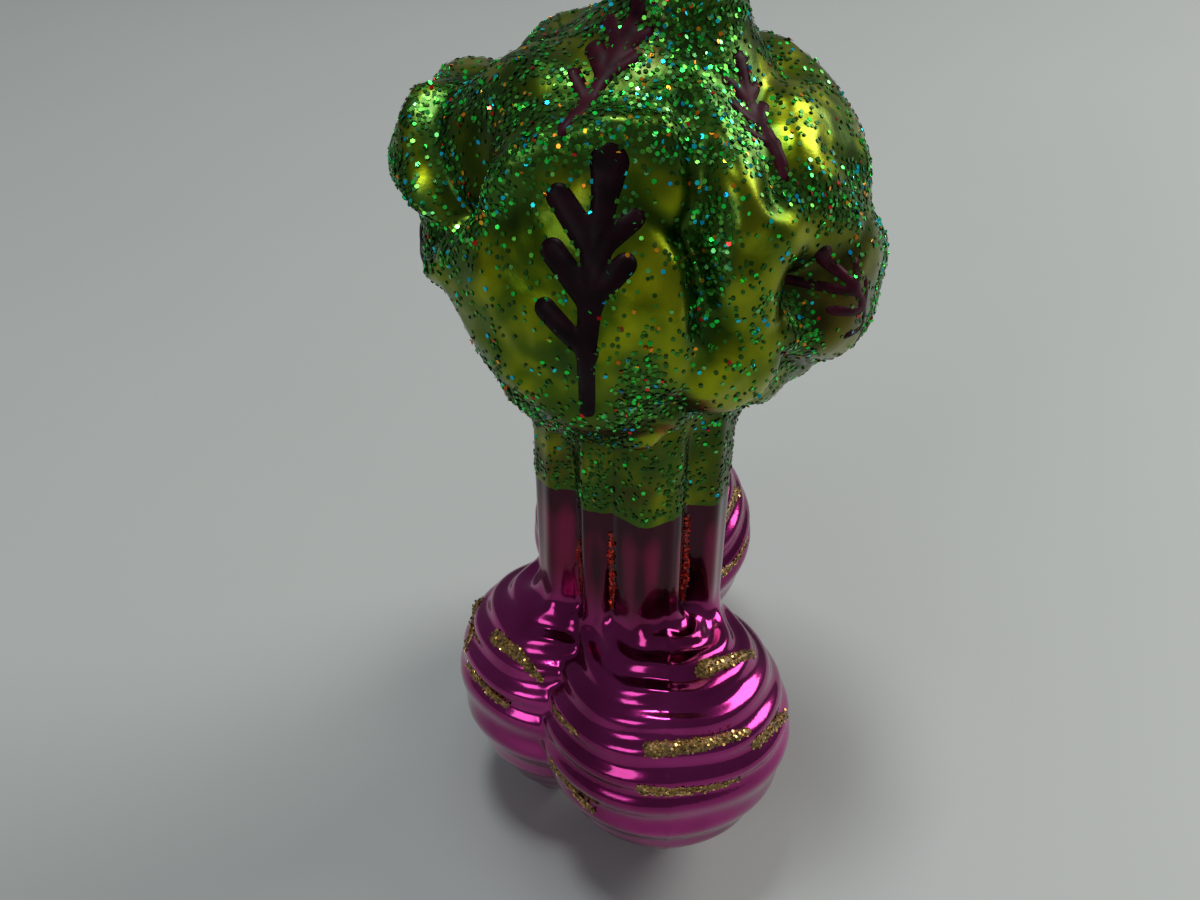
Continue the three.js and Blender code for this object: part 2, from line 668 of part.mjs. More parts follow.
const ornament = new THREE.Group();
for (const piece of pieces) {
  const mesh = new THREE.Mesh(piece.geometry, new THREE.MeshStandardMaterial(LOOKS[piece.look]));
  mesh.name = piece.name;
  mesh.position.set(-middle.x, -middle.y, 0);
  ornament.add(mesh);
}

export default ornament;
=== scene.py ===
# A blown glass tree ornament: three beets under a bunch of stalks and a leafy head,
# silvered inside and lacquered in magenta and yellow-green, with painted veins and glitter.
# Blender 4.5, metres. Shapes are worked out in millimetres and scaled when a mesh is made.
import math

import bmesh
import bpy
import numpy as np
from mathutils import Euler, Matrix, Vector


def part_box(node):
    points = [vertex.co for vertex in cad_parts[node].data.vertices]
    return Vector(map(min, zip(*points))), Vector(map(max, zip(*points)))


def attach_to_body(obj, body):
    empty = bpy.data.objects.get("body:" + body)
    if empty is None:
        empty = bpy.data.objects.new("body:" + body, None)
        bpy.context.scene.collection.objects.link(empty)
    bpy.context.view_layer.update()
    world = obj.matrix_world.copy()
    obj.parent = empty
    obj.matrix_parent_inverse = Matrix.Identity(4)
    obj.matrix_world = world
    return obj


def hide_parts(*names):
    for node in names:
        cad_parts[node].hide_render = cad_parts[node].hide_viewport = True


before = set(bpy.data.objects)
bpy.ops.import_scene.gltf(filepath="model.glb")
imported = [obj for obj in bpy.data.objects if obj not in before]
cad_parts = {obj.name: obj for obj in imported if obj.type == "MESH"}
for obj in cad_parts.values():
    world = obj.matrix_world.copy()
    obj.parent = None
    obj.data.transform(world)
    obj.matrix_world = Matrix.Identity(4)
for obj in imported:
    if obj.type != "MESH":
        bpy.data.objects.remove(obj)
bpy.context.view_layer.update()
MM = 0.001
# Each random draw has a seed of its own, so every run gives the same result
SEED = 7

# Beets: centre, radius, rings, and where the root leans
BEETS = {
    "front": {"centre": (1.1, -15.3, 21.2), "radius": 15.5, "rings": 14, "toward": -90, "lean": 7},
    "left": {"centre": (-11.6, -6, 21.2), "radius": 13.5, "rings": 12, "toward": -120, "lean": 11},
    "rear": {"centre": (-0.8, 17.6, 24.4), "radius": 15.5, "rings": 14, "toward": 90, "lean": 10},
}
# The roots would end this far under the floor, which cuts them flat
FOOT_CUT = 2
ROOT_TAPER = 2.5
RING_DEPTH = 0.35

# The mould seam over the beets and stalks
SEAM_X = 1.1
SEAM_HEIGHT = 0.14
SEAM_WIDTH = 0.24
SEAM_TOP = 60

# Stalks: foot, top and the radius at each
STALKS = [
    ((-11, -6.5, 28), (-10.5, -5, 70), 3.2, 3.8),
    ((-6.6, -10.6, 28), (-6.8, -9.5, 70), 2.3, 3),
    ((-1.3, -11.6, 28), (-1.5, -10, 70), 4.1, 4.6),
    ((4.6, -8.6, 28), (4, -8, 70), 3.1, 3.8),
    ((5, -1.5, 28), (4.6, -1, 70), 3.2, 3.8),
    ((3.6, 6.5, 30), (3.6, 6, 70), 3.6, 4),
    ((-2.6, 10.6, 30), (-2.8, 9.6, 70), 4, 4.4),
    ((-9, 7, 28), (-8.8, 6.2, 70), 3.5, 4),
    ((-11.4, 0.8, 28), (-10.8, 1, 70), 3, 3.6),
]
FLUTES = 6
FLUTE_DEPTH = 0.16
# The bars behind the stalks, under the leaves and under the neck, given in the same way
STALK_CORE = ((-3, -0.3, 24), (-3, 0, 70), 10.2, 10.8)
FUNNEL = ((-3, 1, 57), (-2.4, 2, 76), 11.2, 20.4)
SHOULDER = ((-0.6, 0, 96), (1.1, 0, 105.6), 14.4, 5.8)

# Neck, with its bore, and the level where the two lacquers meet
NECK_X = 1.1
NECK_TOP = 115
NECK = ((NECK_X, 0, 84), (NECK_X, 0, NECK_TOP), 5.7, 5.7)
BORE = ((NECK_X, 0, 93), (NECK_X, 0, NECK_TOP + 5), 4.5, 4.5)
LACQUER_LEVEL = 53
LACQUER_WAVE = 0.35

# The ball that the leaf pads grow out of, and the blend between them
HEAD_CENTRE = (-2.5, 0, 80)
HEAD_CORE = 15
PAD_BLEND = 0.7
# The share of a pad that its dish takes up, and the place given to what lies behind a leaf
DISH_SHARE = 0.35
BEHIND = 9.0
# Leaf pads: azimuth, height, half angles, reach, fall to the edge, dish and corners
PADS = [
    (-114, 6, 54, 54, 23.5, 4.3, 1.2, 1.3),
    (160, 25, 42, 25, 27.8, 5, 0, 1.1),
    (-158, 48, 34, 24, 24.6, 3, 0, 2),
    (-120, 62, 56, 26, 23.6, 2.6, 0, 2),
    (-26, 34, 40, 27, 25.0, 4.2, 0.2, 2),
    (-60, 26, 17, 34, 23.4, 4, 0, 2),
    (-22, 0, 38, 24, 25.5, 4.8, 0.3, 1.5),
    (-66, -10, 19, 20, 22.8, 4, 0, 2),
    (-38, -25, 30, 19, 21.5, 4, 0, 2),
    (24, 36, 40, 26, 25.6, 5, 0.6, 2),
    (-178, 6, 30, 20, 23.2, 5, 0, 1.6),
    (-176, -22, 34, 24, 20.6, 4.4, 0.3, 1.6),
    (136, 8, 36, 44, 24, 5, 1.4, 1.4),
    (88, 2, 36, 46, 23.6, 5, 1.4, 1.4),
    (40, -4, 34, 40, 24.6, 5, 1.2, 1.6),
    (106, 54, 56, 26, 25, 4.5, 0.6, 2),
    (-100, -29, 28, 17, 22.4, 4.4, 0, 2),
]
# Hollows: azimuth, height, half angles and depth
HOLLOWS = [
    (-150, 35, 10, 10, 3),
    (-47, 6, 7, 13, 3),
    (62, 30, 10, 14, 2),
    (160, -4, 12, 10, 1),
]
# The sharp fold on the left leaf
LEFT_LINE = [(-179, 38), (-168, 31), (-160, 26), (-155, 23)]
# Ridges, and grooves where the rise is below zero: half width in degrees, rise in mm and the route
RIDGES = [
    (4.5, 1.3, [(-158, 2), (-140, 24), (-133, 37), (-120, 47), (-104, 52), (-80, 52)]),
    (4, 1.2, [(176, 36), (-171, 30), (-162, 24), (-155, 14)]),
    (4, -1.4, [(-75, 57), (-75, 42), (-76, 28), (-77, 8)]),
    (4.5, 0.9, [(-84, 60), (-68, 62), (-65, 46), (-66, 30)]),
    (4, -1.2, [(-34, 68), (-36, 58), (-50, 43), (-55, 34)]),
    (5, 0.8, [(0, 10), (-5, -5), (-14, -16), (-28, -26)]),
    (4, 0.6, [(-84, 22), (-82, 8), (-84, -14)]),
    (8, -1.5, [(150, 47), (164, 44)]),
    (6, 1, [(-179, 30), (179, 37)]),
    (2.4, -0.5, LEFT_LINE),
    (4, 1, [(-130, -24), (-118, -38), (-104, -44), (-88, -36)]),
]

# How many waves make up an uneven surface
WAVES = 10
# Crumples of the leaves: rise and size in mm, and seed
CRUMPLES = [(0.22, 8.5, 21), (0.06, 3, 22)]

# Blends where one form runs into the next
BEET_BLEND = 0.5
STALK_BLEND = 0.5
JOIN_BLEND = 1.6
FOOT_BLEND = 3
LIP_BLEND = 0.35

# No beet reaches above the first level, and no stalk below the second
BEETS_END = 48
STALKS_START = 20
# What a field says where nothing is near
FAR = 50.0

# The net of the glass: its box, its step in mm, and how often it is evened out
NET_LOW = (-30, -34, -2)
NET_HIGH = (28, 36, 118)
NET_STEP = 0.45
RELAX_ROUNDS = 2
# The steps in a block, the blocks within which the surface is looked for, and the points in a batch
NET_BLOCK = 8
NET_REACH = 2.2
NET_BATCH = 200000
# What the grid says away from the surface
NET_FAR = 9.0
# How points are moved onto a surface: the step for its slope, and the most that a point moves
SLOPE_STEP = 0.04
LONGEST_MOVE = 0.6

# The model's shift from the design frame, read off the cap, which is centred on the neck
cap_low, cap_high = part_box("hanger_cap")
SHIFT = np.array([
    (cap_low[0] + cap_high[0]) / 2 / MM - NECK_X,
    (cap_low[1] + cap_high[1]) / 2 / MM,
    0,
])


def unit(azimuth, height):
    """The direction of length 1 at an azimuth and height in degrees."""
    a, h = math.radians(azimuth), math.radians(height)
    return np.array([math.cos(h) * math.cos(a), math.cos(h) * math.sin(a), math.sin(h)])


def unit_rows(vectors):
    """Vectors brought to length 1."""
    return vectors / np.linalg.norm(vectors, axis=1)[:, None]


def waves(points, size, seed):
    """A smooth random value from about -1 to 1 that varies over a size in mm."""
    rng = np.random.default_rng(seed)
    total = np.zeros(len(points))
    for _ in range(WAVES):
        way = rng.normal(size=3)
        way *= 2 * math.pi / size * rng.uniform(0.6, 1.4) / np.linalg.norm(way)
        total += np.sin(points @ way + rng.uniform(0, 2 * math.pi))
    return total / math.sqrt(WAVES)


def soft_step(low, high, value):
    """Runs smoothly from 0 at low to 1 at high."""
    share = np.clip((value - low) / (high - low), 0, 1)
    return share * share * (3 - 2 * share)


def blend(a, b, size):
    """The nearer of two fields, with a soft fillet where they meet."""
    near = np.maximum(size - np.abs(a - b), 0) / size
    return np.minimum(a, b) - near ** 2 * size / 4


def cut(a, b, size):
    """What lies inside both fields, with a soft edge."""
    return -blend(-a, -b, size)


def beet_field(points, beet):
    """A ringed ball that runs down into a root."""
    down = unit(beet["toward"], beet["lean"] - 90)
    away = points - np.array(beet["centre"])
    along = away @ down
    reach = np.linalg.norm(away, axis=1)
    side = np.sqrt(np.maximum(reach ** 2 - along ** 2, 0))
    length = (beet["centre"][2] + FOOT_CUT) / math.cos(math.radians(beet["lean"]))
    round_about = np.arctan2(away[:, 1], away[:, 0])
    turn_up = np.arccos(np.clip(along / np.maximum(reach, 1e-9), -1, 1))
    turn_down = np.arccos(np.clip(along / length, 0, 1))
    turn = np.where(along > 0, turn_down, turn_up)
    # The rings wander and deepen a little round the beet
    wobble = 0.5 * np.sin(2 * round_about + 1.3) + 0.35 * np.sin(5 * round_about + 3 * turn)
    depth = RING_DEPTH * (0.8 + 0.2 * np.sin(3 * round_about + 5 * turn))
    ring = depth * np.cos(2 * beet["rings"] * turn + wobble)
    dome = reach - beet["radius"] - ring
    sine = np.sin(turn_down)
    width = sine ** ROOT_TAPER * (beet["radius"] + ring)
    slope = ROOT_TAPER * beet["radius"] / length * np.sqrt(sine) * np.clip(along / length, 0, 1)
    root = (side - width) / np.sqrt(1 + slope ** 2)
    return np.where(along > 0, root, dome)


def bar_field(points, foot, top, foot_radius, top_radius):
    """A round bar with flat ends, which may widen along its length."""
    foot = np.array(foot, float)
    line = np.array(top, float) - foot
    length = np.linalg.norm(line)
    heading = line / length
    away = points - foot
    along = away @ heading
    side = np.linalg.norm(away - np.outer(along, heading), axis=1)
    radius = foot_radius + (top_radius - foot_radius) * np.clip(along / length, 0, 1)
    return np.maximum(side - radius, np.maximum(-along, along - length))


def place_on(leaf, way):
    """A direction's place on a leaf, in shares of its half angles."""
    facing = unit(leaf[0], leaf[1])
    level = unit(leaf[0] + 90, 0)
    rising = np.cross(facing, level)
    ahead = way @ facing
    near = np.maximum(ahead, 0.05)
    across = np.abs(np.arctan(way @ level / near) / math.radians(leaf[2]))
    up = np.abs(np.arctan(way @ rising / near) / math.radians(leaf[3]))
    return across, up, np.where(ahead > 0, 0.0, BEHIND)


def pad_reaches(way):
    """How far each leaf pad reaches in a direction."""
    reaches = []
    for pad in PADS:
        across, up, behind = place_on(pad, way)
        reach, edge, dish, corners = pad[4:]
        off = (across ** corners + up ** corners) ** (2 / corners) + behind
        reaches.append(reach - edge * off ** 2 - dish * np.exp(-off / DISH_SHARE))
    return np.array(reaches)


def route_distance(way, route):
    """How far directions lie from a route of azimuths and heights."""
    spots = [unit(*spot) for spot in route]
    best = np.full(len(way), FAR)
    for a, b in zip(spots, spots[1:]):
        line = b - a
        share = np.clip((way - a) @ line / (line @ line), 0, 1)
        best = np.minimum(best, np.linalg.norm(way - a - np.outer(share, line), axis=1))
    return best


def near_route(way, route, half_width):
    """1 on a route, fading to either side over a half width in radians."""
    return np.exp(-(route_distance(way, route) / half_width) ** 2)


def head_radius(way):
    """How far the head reaches in a direction, without its crumples."""
    reaches = pad_reaches(way)
    total = np.exp(HEAD_CORE / PAD_BLEND) + np.exp(reaches / PAD_BLEND).sum(axis=0)
    radius = PAD_BLEND * np.log(total)
    for hollow in HOLLOWS:
        across, up, behind = place_on(hollow, way)
        radius -= hollow[4] * np.exp(-across ** 2 - up ** 2 - behind)
    for half_width, rise, route in RIDGES:
        radius += rise * near_route(way, route, math.radians(half_width))
    return radius


def from_head(points):
    """How far points lie from the middle of the head, and in which direction."""
    away = points - np.array(HEAD_CENTRE)
    reach = np.maximum(np.linalg.norm(away, axis=1), 1e-6)
    return reach, away / reach[:, None]


def head_field(points):
    reach, way = from_head(points)
    crumple = sum(rise * waves(points, size, seed) for rise, size, seed in CRUMPLES)
    return reach - head_radius(way) - crumple


def upper_field(points):
    """Stalks, leafy head and neck."""
    field = bar_field(points, *STALK_CORE)
    for number, stalk in enumerate(STALKS):
        foot, top = stalk[:2]
        middle = np.array(foot[:2]) + (np.array(top[:2]) - foot[:2]) / 2
        round_about = np.arctan2(points[:, 1] - middle[1], points[:, 0] - middle[0])
        flutes = FLUTE_DEPTH * np.cos(FLUTES * round_about + 2 * number)
        field = blend(field, bar_field(points, *stalk) - flutes, STALK_BLEND)
    field = blend(field, bar_field(points, *FUNNEL), JOIN_BLEND)
    field = blend(field, head_field(points), JOIN_BLEND)
    for bar in (SHOULDER, NECK):
        field = blend(field, bar_field(points, *bar), JOIN_BLEND)
    field = cut(field, points[:, 2] - NECK_TOP, LIP_BLEND)
    return cut(field, -bar_field(points, *BORE), LIP_BLEND)


def beets_field(points):
    """All three beets, run together where they touch."""
    field = beet_field(points, BEETS["front"])
    for name in ("left", "rear"):
        field = blend(field, beet_field(points, BEETS[name]), BEET_BLEND)
    return field


def glass_field(points):
    """The whole blown body, with its roots cut flat at the floor."""
    low = points[:, 2] < BEETS_END
    high = points[:, 2] > STALKS_START
    beets = np.full(len(points), FAR)
    beets[low] = beets_field(points[low])
    field = np.full(len(points), FAR)
    field[high] = upper_field(points[high])
    field = blend(field, beets, FOOT_BLEND)
    seam = SEAM_HEIGHT * np.exp(-((points[:, 0] - SEAM_X) / SEAM_WIDTH) ** 2)
    field -= seam * (points[:, 2] < SEAM_TOP)
    return cut(field, -points[:, 2], LIP_BLEND)


def slope_of(field, points):
    """The field and its slope at points."""
    here = field(points)
    slope = np.empty_like(points)
    for axis in range(3):
        moved = points.copy()
        moved[:, axis] += SLOPE_STEP
        slope[:, axis] = (field(moved) - here) / SLOPE_STEP
    return here, slope


def onto(field, points, rounds):
    """Points moved to where the field is zero."""
    for _ in range(rounds):
        here, slope = slope_of(field, points)
        step = here / np.maximum((slope ** 2).sum(axis=1), 0.05)
        points = points - slope * np.clip(step, -LONGEST_MOVE, LONGEST_MOVE)[:, None]
    return points


def normals_of(field, points):
    """The field's outward directions at points."""
    return unit_rows(slope_of(field, points)[1])


def sampled(field, low, high, step):
    """The field on a grid: its values in blocks near the surface, and only its sign elsewhere."""
    counts = np.ceil((np.array(high) - low) / step / NET_BLOCK).astype(int) * NET_BLOCK + 1
    blocks = (counts - 1) // NET_BLOCK
    middles = (np.indices(blocks).reshape(3, -1).T + 0.5) * NET_BLOCK * step + low
    coarse = field(middles).reshape(blocks)
    values = np.where(coarse > 0, NET_FAR, -NET_FAR)
    for axis in range(3):
        values = values.repeat(NET_BLOCK, axis)
    values = np.pad(values, 1, mode="edge")[1:, 1:, 1:]
    wanted = np.zeros(counts, bool)
    for near in np.argwhere(np.abs(coarse) < NET_BLOCK * step * NET_REACH):
        wanted[tuple(slice(start, start + NET_BLOCK + 1) for start in near * NET_BLOCK)] = True
    spots = np.argwhere(wanted)
    batches = [spots[start:start + NET_BATCH] for start in range(0, len(spots), NET_BATCH)]
    values[wanted] = np.concatenate([field(batch * step + low) for batch in batches])
    return values


def crossings(values, cells, corners):
    """The middle of the places where the surface crosses each cell's edges, in cells."""
    places = np.zeros((len(cells), 3))
    weight = np.zeros(len(cells))
    for a in corners:
        for axis in range(3):
            if a[axis]:
                continue
            b = tuple(1 if i == axis else v for i, v in enumerate(a))
            at_a = values[tuple((cells + a).T)]
            at_b = values[tuple((cells + b).T)]
            crosses = (at_a < 0) != (at_b < 0)
            share = np.where(crosses, at_a / np.where(crosses, at_a - at_b, 1), 0)
            spot = np.array(a, float) + np.outer(share, np.array(b) - np.array(a))
            places += spot * crosses[:, None]
            weight += crosses
    return places / weight[:, None]


def crossing_quads(inside, number):
    """A quad of cell numbers around each grid edge that crosses the surface."""
    size = number.shape
    quads = []
    for axis in range(3):
        after = [slice(None)] * 3
        before = [slice(None)] * 3
        after[axis] = slice(1, None)
        before[axis] = slice(None, -1)
        changes = np.argwhere(inside[tuple(before)] != inside[tuple(after)])
        u, v = (axis + 1) % 3, (axis + 2) % 3
        keep = (changes[:, u] > 0) & (changes[:, v] > 0)
        keep &= (changes[:, u] < size[u]) & (changes[:, v] < size[v])
        changes = changes[keep]
        ring = []
        for du, dv in ((-1, -1), (0, -1), (0, 0), (-1, 0)):
            cell = changes.copy()
            cell[:, u] += du
            cell[:, v] += dv
            ring.append(number[tuple(cell.T)])
        ring = np.array(ring).T
        flip = ~inside[tuple(changes.T)]
        ring[flip] = ring[flip][:, ::-1]
        quads.append(ring)
    return np.concatenate(quads)


def surface_net(field, low, high, step):
    """Points and quads of the surface where the field is zero."""
    values = sampled(field, low, high, step)
    inside = values < 0
    size = tuple(count - 1 for count in values.shape)
    corners = [(i, j, k) for i in (0, 1) for j in (0, 1) for k in (0, 1)]
    total = sum(
        inside[i:i + size[0], j:j + size[1], k:k + size[2]].astype(np.int8)
        for i, j, k in corners
    )
    cells = np.argwhere((total > 0) & (total < len(corners)))
    number = np.full(size, -1)
    number[tuple(cells.T)] = np.arange(len(cells))
    points = (cells + crossings(values, cells, corners)) * step + low
    return points, crossing_quads(inside, number)


def quad_sides(quads):
    """The four sides of each quad, as pairs of point numbers."""
    return np.concatenate([quads[:, [i, (i + 1) % 4]] for i in range(4)])


def relaxed(points, quads):
    """Evens out the net along the surface."""
    edges = quad_sides(quads)
    for _ in range(RELAX_ROUNDS):
        total = np.zeros_like(points)
        count = np.zeros(len(points))
        for a, b in ((0, 1), (1, 0)):
            np.add.at(total, edges[:, a], points[edges[:, b]])
            np.add.at(count, edges[:, a], 1)
        points = 0.4 * points + 0.6 * total / count[:, None]
    return points


def add_mesh(name, points, faces, smooth=True):
    """A mesh object from points in design mm and faces that all have as many corners."""
    faces = np.asarray(faces, np.int32)
    mesh = bpy.data.meshes.new(name)
    mesh.vertices.add(len(points))
    mesh.vertices.foreach_set("co", ((points + SHIFT) * MM).astype(np.float32).ravel())
    mesh.loops.add(faces.size)
    mesh.loops.foreach_set("vertex_index", faces.ravel())
    mesh.polygons.add(len(faces))
    sides = faces.shape[1]
    mesh.polygons.foreach_set("loop_start", np.arange(0, faces.size, sides, dtype=np.int32))
    mesh.polygons.foreach_set("use_smooth", np.full(len(faces), smooth))
    mesh.update(calc_edges=True)
    mesh.validate()
    obj = bpy.data.objects.new(name, mesh)
    bpy.context.scene.collection.objects.link(obj)
    return obj


def place_array(obj):
    """A mesh's points in design mm."""
    found = np.empty(len(obj.data.vertices) * 3, np.float32)
    obj.data.vertices.foreach_get("co", found)
    return found.reshape(-1, 3).astype(float) / MM - SHIFT


def give(obj, name, values):
    """Stores a value at each point, for the materials to read."""
    layer = obj.data.attributes.new(name, "FLOAT", "POINT")
    layer.data.foreach_set("value", np.asarray(values, np.float32))


def attach(obj, body, slot, material, *nodes):
    """Puts a piece on its body with its material, in place of the CAD nodes that it replaces; its
    slot is not used.
    """
    obj.data.materials.clear()
    obj.data.materials.append(material)
    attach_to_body(obj, body)
    if nodes:
        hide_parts(*nodes)


def lacquer_wave(points):
    """How far the line between the two lacquers rises above its level."""
    angle = np.arctan2(points[:, 1], points[:, 0] - STALK_CORE[0][0])
    return LACQUER_WAVE * (0.6 * np.sin(5 * angle + 1) + 0.4 * np.sin(11 * angle + 2))


def lower_by_wave(mesh, share):
    """Moves points down by the wave of the lacquer's line, or up with a share of -1."""
    places = np.array([v.co[:] for v in mesh.verts]) / MM - SHIFT
    for vertex, wave in zip(mesh.verts, lacquer_wave(places)):
        vertex.co.z -= share * wave * MM


def half_of(obj, name, keep_low):
    """One side of the glass body, split at the wavy level line and closed there."""
    mesh = bmesh.new()
    mesh.from_mesh(obj.data)
    lower_by_wave(mesh, 1)
    bmesh.ops.bisect_plane(
        mesh,
        geom=mesh.verts[:] + mesh.edges[:] + mesh.faces[:],
        plane_co=(0, 0, LACQUER_LEVEL * MM),
        plane_no=(0, 0, 1),
        clear_outer=keep_low,
        clear_inner=not keep_low,
    )
    rim = [edge for edge in mesh.edges if edge.is_boundary]
    filled = bmesh.ops.holes_fill(mesh, edges=rim, sides=0)["faces"]
    for edge in rim:
        edge.smooth = False
    bmesh.ops.triangulate(mesh, faces=filled)
    lower_by_wave(mesh, -1)
    data = bpy.data.meshes.new(name)
    mesh.to_mesh(data)
    mesh.free()
    half = bpy.data.objects.new(name, data)
    bpy.context.scene.collection.objects.link(half)
    return half


# Materials
class Nodes:
    """A material's node tree with a Principled shader, and short ways to add nodes to it."""

    def __init__(self, name, **inputs):
        self.material = bpy.data.materials.new(name)
        self.material.use_nodes = True
        self.tree = self.material.node_tree
        self.shader = self.tree.nodes["Principled BSDF"]
        self.coords = self.tree.nodes.new("ShaderNodeTexCoord")
        for key, value in inputs.items():
            self.set(key.replace("_", " "), value)

    def add(self, kind, links=None, **settings):
        """A new node, with its inputs and settings."""
        node = self.tree.nodes.new("ShaderNode" + kind)
        for key, value in settings.items():
            setattr(node, key, value)
        for key, value in (links or {}).items():
            self.feed(node, key, value)
        return node

    def feed(self, node, key, value):
        """Links an output to a node's input, or sets the input to a number or colour."""
        socket = node.inputs[key]
        if isinstance(value, bpy.types.NodeSocket):
            self.tree.links.new(value, socket)
        else:
            socket.default_value = (*value, 1) if isinstance(value, tuple) else value

    def set(self, key, value):
        self.feed(self.shader, key, value)

    def noise(self, scale, detail):
        """Noise over the object, with scale in features per metre."""
        vector = self.coords.outputs["Object"]
        node = self.add("TexNoise", {"Vector": vector, "Scale": scale, "Detail": detail})
        return node.outputs["Fac"]

    def ramp(self, factor, stops):
        node = self.add("ValToRGB", {"Fac": factor})
        points = node.color_ramp.elements
        while len(points) < len(stops):
            points.new(0.5)
        for point, (place, colour) in zip(points, stops):
            point.position = place
            point.color = (*colour, 1)
        return node.outputs["Color"]

    def mix(self, factor, a, b):
        """A colour between a and b, which are inputs 6 and 7 of Blender's Mix node."""
        return self.add("Mix", {0: factor, 6: a, 7: b}, data_type="RGBA").outputs[2]

    def uneven_roughness(self, scale, detail, spread, least):
        """Roughness that runs from its least value upwards, following noise."""
        noise = self.noise(scale, detail)
        node = self.add("Math", {0: noise, 1: spread, 2: least}, operation="MULTIPLY_ADD")
        self.set("Roughness", node.outputs[0])

    def bump(self, height, distance, strength):
        node = self.add("Bump", {"Height": height, "Distance": distance, "Strength": strength})
        self.set("Normal", node.outputs["Normal"])

    def attribute(self, name):
        return self.add("Attribute", attribute_name=name).outputs["Fac"]


def magenta_lacquer():
    m = Nodes("magenta_lacquer", Metallic=1.0, Coat_Weight=0.32, Coat_Roughness=0.03)
    colour = m.ramp(m.noise(90, 3), [(0.3, (0.2, 0.006, 0.085)), (0.7, (0.42, 0.03, 0.22))])
    colour = m.mix(m.attribute("stalk"), colour, (0.17, 0.005, 0.035))
    # Dark streaks up the stalks, and painted shade under the collar and in the grooves by the red
    # lines
    colour = m.mix(m.attribute("shade"), colour, (0.025, 0.002, 0.008))
    m.set("Base Color", colour)
    m.uneven_roughness(260, 2, 0.14, 0.09)
    m.bump(m.noise(420, 3), 0.0001, 0.3)
    return m.material


def green_lacquer():
    m = Nodes("green_lacquer", Metallic=1.0, Coat_Weight=0.05, Coat_Roughness=0.1)
    colour = m.ramp(m.noise(150, 2), [
        (0.32, (0.028, 0.065, 0.002)),
        (0.49, (0.105, 0.17, 0.002)),
        (0.66, (0.42, 0.46, 0.004)),
    ])
    # Painted highlight: yellow on the ridges
    colour = m.mix(m.attribute("ridge_highlight"), colour, (0.5, 0.52, 0.01))
    # Painted shade: dark green in folds, under the leaves and over the left leaf's top highlight
    colour = m.mix(m.attribute("fold_shade"), colour, (0.02, 0.035, 0.002))
    colour = m.mix(m.attribute("glue"), colour, (0.045, 0.12, 0.018))
    colour = m.mix(m.attribute("wine"), colour, (0.05, 0.004, 0.014))
    m.set("Base Color", colour)
    m.uneven_roughness(300, 2, 0.22, 0.22)
    m.bump(m.noise(700, 4), 0.00012, 0.5)
    return m.material


def vein_enamel(name, dark, light):
    m = Nodes(name, Roughness=0.45, Specular_IOR_Level=0.1)
    m.set("Base Color", m.ramp(m.noise(500, 3), [(0.35, dark), (0.7, light)]))
    m.bump(m.noise(900, 2), 0.00008, 0.3)
    return m.material


def glitter_glue(name, dark, light):
    m = Nodes(name, Metallic=0.5, Roughness=0.4, Coat_Weight=0.3, Coat_Roughness=0.2)
    cells = m.add("TexVoronoi", {"Vector": m.coords.outputs["Object"], "Scale": 3800.0})
    m.set("Base Color", m.ramp(cells.outputs["Color"], [(0.2, dark), (0.75, light)]))
    m.bump(cells.outputs["Distance"], 0.00012, 0.8)
    return m.material


def flake(name, dark, light, metallic, roughness):
    m = Nodes(name, Metallic=metallic, Roughness=roughness)
    chance = m.add("NewGeometry").outputs["Random Per Island"]
    m.set("Base Color", m.ramp(chance, [(0.0, dark), (1.0, light)]))
    return m.material


def stamped_metal(name, dark, light, roughness):
    m = Nodes(name, Metallic=1.0)
    m.set("Base Color", m.ramp(m.noise(600, 4), [(0.3, dark), (0.7, light)]))
    m.uneven_roughness(1500, 3, 0.2, roughness - 0.1)
    m.bump(m.noise(1800, 3), 0.00005, 0.4)
    return m.material


def plain_paper(name, dark, light):
    m = Nodes(name, Roughness=0.6)
    m.set("Base Color", m.ramp(m.noise(9, 3), [(0.3, dark), (0.7, light)]))
    return m.material


MAGENTA = magenta_lacquer()
GREEN = green_lacquer()

# The glass body, split into its two lacquers
points, quads = surface_net(glass_field, NET_LOW, NET_HIGH, NET_STEP)
points = onto(glass_field, points, 3)
points = onto(glass_field, relaxed(points, quads), 2)
glass = add_mesh("glass_whole", points, quads)
beet_skin = half_of(glass, "beet_skin", True)
leaf_skin = half_of(glass, "leaf_skin", False)
bpy.data.objects.remove(glass)

# Where glitter lies thick on the green: bands as azimuth, height and half width in degrees
GLITTER_BANDS = [
    ([(-148, 14), (-140, 26), (-132, 38), (-120, 47), (-104, 51), (-84, 49)], 4.5),
    ([(-108, 58), (-92, 60), (-74, 56)], 9),
    ([(-76, 78), (-62, 64), (-60, 50)], 8),
    ([(-134, 50), (-150, 49), (178, 42)], 3.5),
    ([(172, 24), (-176, 20), (-168, 15), (-162, 8)], 6),
    ([(-178, 39), (-166, 32), (-157, 27)], 2.5),
    ([(-179, 42), (-177, 35)], 4),
    ([(-174, 23), (-164, 20), (-157, 17)], 3),
    ([(-72, 34), (-74, 20), (-78, 6)], 3.5),
    ([(-92, -4), (-90, -14), (-96, -22)], 5),
    ([(-50, 34), (-30, 24), (-10, 26)], 4),
    ([(-48, 4), (-48, -8), (-50, -18)], 3.5),
    ([(-14, 14), (-10, 2), (-18, -12)], 5),
    ([(-100, -34), (-120, -28), (-140, -16)], 4),
]
# How far a crease's glitter reaches in mm, and in radians how far a fold's surroundings lie
CREASE_SPAN = 0.7
FOLD_SPAN = 0.13


def band_share(way):
    """How deep a direction lies in the thick bands of glitter, from 0 to 1."""
    best = np.zeros(len(way))
    for route, half_width in GLITTER_BANDS:
        best = np.maximum(best, near_route(way, route, math.radians(half_width)))
    return best


def crease_share(way):
    """Near 1 in the creases between two leaf pads."""
    reaches = np.sort(pad_reaches(way), axis=0)
    return np.exp(-(reaches[-1] - reaches[-2]) / CREASE_SPAN)


